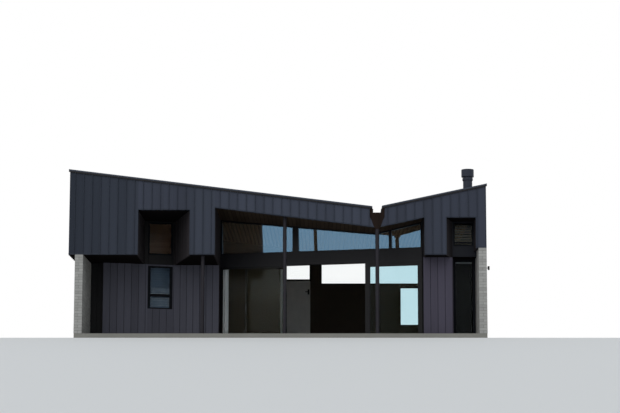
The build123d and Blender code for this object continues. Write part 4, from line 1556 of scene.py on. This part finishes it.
@dataclass
class Doors(Assembly):
    """Glazing beads, flush pulls on the sliding leaves and the ribs of their track."""

    bead: Point = (0.010, 0.004, 0.010)    # width of the side beads, depth, height of the others
    pull: Point = (0.028, 0.003, 0.016)    # width, thickness and distance from the leaf's edge
    pull_height: Span = (1.15, 1.40)
    pull_bevel: float = 0.001
    grip: Point = (0.004, 0.002, 0.02)     # half width, thickness and distance from the pull's ends
    rib: Span = (0.003, 0.006)             # width and height
    middle_rib: float = 0.066              # behind the track's front edge

    def build(self) -> None:
        """Builds the beads, the pulls and the ribs."""
        for glass, name, body in (
            ("fixed_door_glass", "fixed_beads", Body.HOUSE),
            ("first_leaf_glass", "first_leaf_beads", Body.FIRST_LEAF),
            ("second_leaf_glass", "second_leaf_beads", Body.SECOND_LEAF),
        ):
            self.beads(glass, name, body)
        self.pulls("first_leaf_frame", Body.FIRST_LEAF, front=True)
        self.pulls("second_leaf_frame", Body.SECOND_LEAF, front=False)
        self.ribs()

    def beads(self, glass: str, name: str, body: Body) -> None:
        """Black beads round both faces of each pane.

        Args:
            glass: Glass node.
            name: Name of the piece.
            body: Body that carries it.
        """
        run, shape = self.house.glass_wall, Shape()
        width, depth, height = self.bead
        for pane in solids(glass):
            u, v, z = run.reach(pane), run.across.reach(pane), extent(pane, Axis.Z)
            for face in (beside(v[0], -depth), beside(v[1], depth)):
                for end in (beside(z[0], height), beside(z[1], -height)):
                    shape.bar(run, u, face, end)
                for side in (beside(u[0], width), beside(u[1], -width)):
                    shape.bar(run, side, face, grown(z, -height))
        shape.piece(name, self.palette.lamp, Slot.FRAMES, body)

    def pulls(self, node: str, body: Body, front: bool) -> None:
        """A flush pull on both stiles of a leaf.

        Args:
            node: Frame of the leaf.
            body: Body that carries the pulls.
            front: Whether they are on the front face.
        """
        run, shape = self.house.glass_wall, Shape()
        u, v = run.reach(corners(node)), run.across.reach(corners(node))
        width, thickness, edge = self.pull
        half, proud, inset = self.grip
        back, way = (v[0], -1) if front else (v[1], 1)
        for stile in (beside(u[0] + edge, width), beside(u[1] - edge, -width)):
            shape.bar(run, stile, beside(back, way * thickness), self.pull_height)
            shape.bar(run, around(sum(stile) / 2, half), beside(back, way * (thickness + proud)),
                      grown(self.pull_height, -inset))
        shape.piece(f"{body.value}_pulls", self.palette.track, Slot.TRACK, body,
                    bevel=self.pull_bevel)

    def ribs(self) -> None:
        """Three ribs along the track."""
        run, track, shape = self.house.glass_wall, corners("door_track"), Shape()
        u, v, top = run.reach(track), run.across.reach(track), extent(track, Axis.Z)[1]
        width, height = self.rib
        for start in (v[0], v[0] + self.middle_rib, v[1] - width):
            shape.bar(run, u, (start, start + width), (top, top + height))
        shape.piece("track_ribs", self.palette.track, Slot.TRACK)


@dataclass
class Curtains(Assembly):
    """Two pleated curtains that hang from the rail behind the glass wall."""

    pleat: float = 0.085
    swing: float = 0.024
    head_swing: float = 0.75       # share of the swing that is left at the head
    crowding: float = 0.006        # how far the pleats lean sideways at the foot
    drift: Point = (0.12, 3.1 * math.pi, 2.0)  # size, change along the curtain and up it
    steps: int = 14                # points along one pleat
    rows: int = 14
    gathers: Span = (0.05, 0.0)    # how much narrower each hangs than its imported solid

    def build(self) -> None:
        """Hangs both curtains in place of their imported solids."""
        names = ("left_curtain", "stacked_curtain")
        for name, points, gather in zip(names, solids("curtains"), self.gathers):
            self.hang(name, points, gather)

    def hang(self, name: str, points: list[Vector], gather: float) -> None:
        """Hangs one curtain.

        Args:
            name: Name of the piece.
            points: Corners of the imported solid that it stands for.
            gather: How much narrower it hangs.
        """
        run = self.house.glass_wall
        (start, end), z = run.reach(points), extent(points, Axis.Z)
        end -= gather
        middle = sum(run.across.reach(points)) / 2
        pleats = max(2, round((end - start) / self.pleat))
        columns = pleats * self.steps
        size, change, climb = self.drift

        def spot(along: float, up: float) -> Vector:
            """Point of the cloth.

            Args:
                along: Share of the way from its left edge to its right edge.
                up: Share of the way from its foot to its head.

            Returns:
                The point in the frame.
            """
            turn = 2 * math.pi * pleats * along
            swing = self.swing * (self.head_swing + (1 - self.head_swing) * (1 - up))
            lean = self.crowding * math.sin(2 * turn) * (1 - up)
            wave = math.sin(turn + size * math.sin(change * along + climb * up))
            return run.point(start + (end - start) * along + lean, middle + swing * wave,
                             z[0] + (z[1] - z[0]) * up)

        rows = [[spot(column / columns, level / self.rows) for column in range(columns + 1)]
                for level in range(self.rows + 1)]
        shape = Shape()
        shape.sheet(rows)
        made = shape.piece(name, self.palette.linen, Slot.CURTAIN, smooth=True)
        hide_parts("curtains")
        halfway = rows[self.rows // 2]
        width = sum((b - a).length for a, b in zip(halfway, halfway[1:]))


@dataclass
class Fittings(Assembly):
    """Plates under the posts, the boot and bands of the flue, and the lamp's lens."""

    plate: Span = (0.1, 0.012)     # half width and thickness
    plate_gap: float = 0.004       # behind the front of the hood
    bolt_inset: Span = (0.018, 0.016)
    bolt: tuple[Span, ...] = ((0.009, 0.0), (0.009, 0.009), (0.0063, 0.012))   # radius and height
    bolt_sides: int = 6
    boot_rings: tuple[Point, ...] = (   # radius beyond the pipe, lift and share of the roof's fall
        (0.14, 0.002, 1.0), (0.13, 0.012, 1.0), (0.045, 0.05, 0.6), (0.012, 0.16, 0.6),
        (-0.004, 0.16, 0.6))
    pipe_foot: float = 0.08        # the pipe is bare this far up
    band: tuple[Span, ...] = (     # radius beyond the cap and height
        (-0.006, 0.0), (0.0, 0.004), (0.0, 0.014), (-0.006, 0.018))
    band_places: Span = (0.018, -0.036)    # from the cap's foot and from its head
    flue_sides: int = 40
    lens_share: float = 0.55       # of the lamp's radius
    lens_profile: tuple[Span, ...] = ((0.7, -0.008), (0.95, -0.004), (0.95, 0.002))
    lens_sides: int = 24

    def build(self) -> None:
        """Builds the plates, the boot, the bands and the lens."""
        self.plates()
        self.flue()
        self.lens()

    def plates(self) -> None:
        """Base plates with four bolts each."""
        shape, floor = Shape(), self.house.floor
        half, top = self.plate[0], floor + self.plate[1]
        for points in (*solids("verandah_posts"), corners("valley_post")):
            x, y = (sum(extent(points, axis)) / 2 for axis in (Axis.X, Axis.Y))
            depth = min(half, y - self.house.front - self.plate_gap)
            shape.box(around(x, half), around(y, depth), (floor, top))
            for at_x in around(x, half - self.bolt_inset[0]):
                for at_y in around(y, depth - self.bolt_inset[1]):
                    shape.turned(Vector((at_x, at_y, top)), self.bolt, self.bolt_sides)
        shape.piece("post_plates", self.palette.steel, Slot.STEEL)

    def flue(self) -> None:
        """Cone flashing where the flue meets the roof, and two clamp bands on its cap."""
        (low, high), (cap_low, cap_high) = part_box("flue_pipe"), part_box("flue_cap")
        centre = Vector(((cap_low.x + cap_high.x) / 2, (low.y + high.y) / 2, 0.0))
        pipe = min((flat(p) - centre).length for p in corners("flue_pipe")
                   if p.z < low.z + self.pipe_foot)
        roof, boot = self.house.roof_top, Shape()
        boot.sheet([[centre + Vector((x, y, roof.at(centre.x) + x * roof.right * fall + lift))
                     for x, y in ring(pipe + beyond, self.flue_sides)]
                    for beyond, lift, fall in self.boot_rings], closed=True)
        boot.piece("flue_boot", self.palette.flashing, Slot.FLUE, smooth=True)
        bands, radius = Shape(), (cap_high.x - cap_low.x) / 2
        for foot in (cap_low.z + self.band_places[0], cap_high.z + self.band_places[1]):
            profile = [(radius + beyond, foot + height) for beyond, height in self.band]
            bands.turned(centre, profile, self.flue_sides)
        bands.piece("flue_bands", self.palette.flue, Slot.FLUE)

    def lens(self) -> None:
        """Opal lens under the lamp."""
        low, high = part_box("wall_light")
        points = corners("wall_light")
        radius = (high.y - low.y) / 2 * self.lens_share
        foot = extent([p for p in points if p.z < low.z + NEAR], Axis.X)
        centre = Vector((sum(foot) / 2, (low.y + high.y) / 2, 0.0))
        bottom = min(p.z for p in points if abs(p.x - centre.x) < radius)
        shape = Shape()
        profile = [(radius * share, bottom + height) for share, height in self.lens_profile]
        shape.turned(centre, profile, self.lens_sides)
        shape.piece("lamp_lens", self.palette.lens, Slot.LAMP)


# Studio

@dataclass(frozen=True)
class Camera:
    """Camera at the photograph's viewing place, below the floor and right of the middle."""

    place: Point = (1.470, -55.65, -5.156)
    pitch: float = 7.655           # degrees above level
    yaw: float = 0.025
    lens: float = 100.946
    sensor: float = 36.0
    shift: Span = (-0.0290, 0.12)
    far: float = 900.0

    def build(self) -> None:
        """Adds the camera to the scene."""
        data = bpy.data.cameras.new("camera")
        data.lens, data.sensor_width, data.clip_end = self.lens, self.sensor, self.far
        data.shift_x, data.shift_y = self.shift
        made = bpy.data.objects.new("camera", data)
        made.location = self.place
        made.rotation_euler = Euler([math.radians(a) for a in (90 + self.pitch, 0.0, -self.yaw)])
        bpy.context.scene.collection.objects.link(made)
        bpy.context.scene.camera = made


@dataclass(frozen=True)
class Studio:
    """Pale floor, white surroundings and soft light from above and in front."""

    paper: str = "#dcdcda"
    paper_roughness: float = 0.9
    fill: str = "#dfe6ee"
    fill_strength: float = 0.72
    key_strength: float = 1.1
    key_softness: float = 70.0     # degrees across
    key_turn: Point = (48.0, 0.0, -28.0)
    level_front: float = -4.0      # the floor is level behind this line and falls in front of it
    fall: float = 0.14
    reach: float = 380.0
    crest: float = 2.0             # length of the rounded start of the fall
    crest_steps: int = 24

    def build(self) -> None:
        """Builds the floor, the world and the lamp."""
        bpy.context.scene.view_settings.view_transform = "Standard"
        self.floor()
        self.world()
        lamp = bpy.data.lights.new("soft_key", "SUN")
        lamp.energy, lamp.angle = self.key_strength, math.radians(self.key_softness)
        key = bpy.data.objects.new("soft_key", lamp)
        key.rotation_euler = Euler([math.radians(a) for a in self.key_turn])
        bpy.context.scene.collection.objects.link(key)

    def world(self) -> None:
        """White where the camera, mirrors and glass see it, and a cool fill light elsewhere."""
        world = bpy.data.worlds.new("studio")
        bpy.context.scene.world = world
        world.use_nodes = True
        tree = world.node_tree
        tree.nodes.clear()
        rays = add(tree, "LightPath").outputs
        seen = calc(tree, "MAXIMUM", rays["Is Camera Ray"], rays["Is Glossy Ray"])
        seen = calc(tree, "MAXIMUM", seen, rays["Is Transmission Ray"])
        fill = add(tree, "Background", {"Color": linear(self.fill), "Strength": self.fill_strength})
        white = add(tree, "Background", {"Color": linear("#ffffff"), "Strength": 1.0})
        mixed = add(tree, "MixShader", {0: seen, 1: fill.outputs[0], 2: white.outputs[0]})
        add(tree, "OutputWorld", {"Surface": mixed.outputs[0]})

    def floor(self) -> None:
        """Floor that is level under the house and falls gently in front of it."""
        line = [(self.reach, 0.0), (self.level_front, 0.0)]
        for i in range(1, self.crest_steps + 1):
            share = i / self.crest_steps
            line.append((self.level_front - self.crest * share,
                         -self.fall * self.crest * share * share / 2))
        y, z = line[-1]
        line.append((-self.reach, z - self.fall * (y + self.reach)))
        shape = Shape()
        shape.sheet([[Vector((x, *at)) for x in around(0.0, self.reach)] for at in line])
        paper = Mineral("studio_paper", self.paper, self.paper, self.paper_roughness)
        shape.place("studio_floor", paper, smooth=True)


def main() -> None:
    """Builds the studio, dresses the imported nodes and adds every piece."""
    logging.basicConfig(level=logging.INFO, format="%(message)s")
    house = House.measure()
    palette = Palette(house)
    Studio().build()
    Camera().build()
    for kind in (PackedNodes, FrontCladding, SideAndBackCladding, RoofSeams, Brickwork, WallBoards,
                 BackDoor, WindowFittings, Doors, Curtains, Fittings):
        kind(house, palette).build()
        logging.info("%s: done", kind.__name__)


if __name__ == "__main__":
    main()
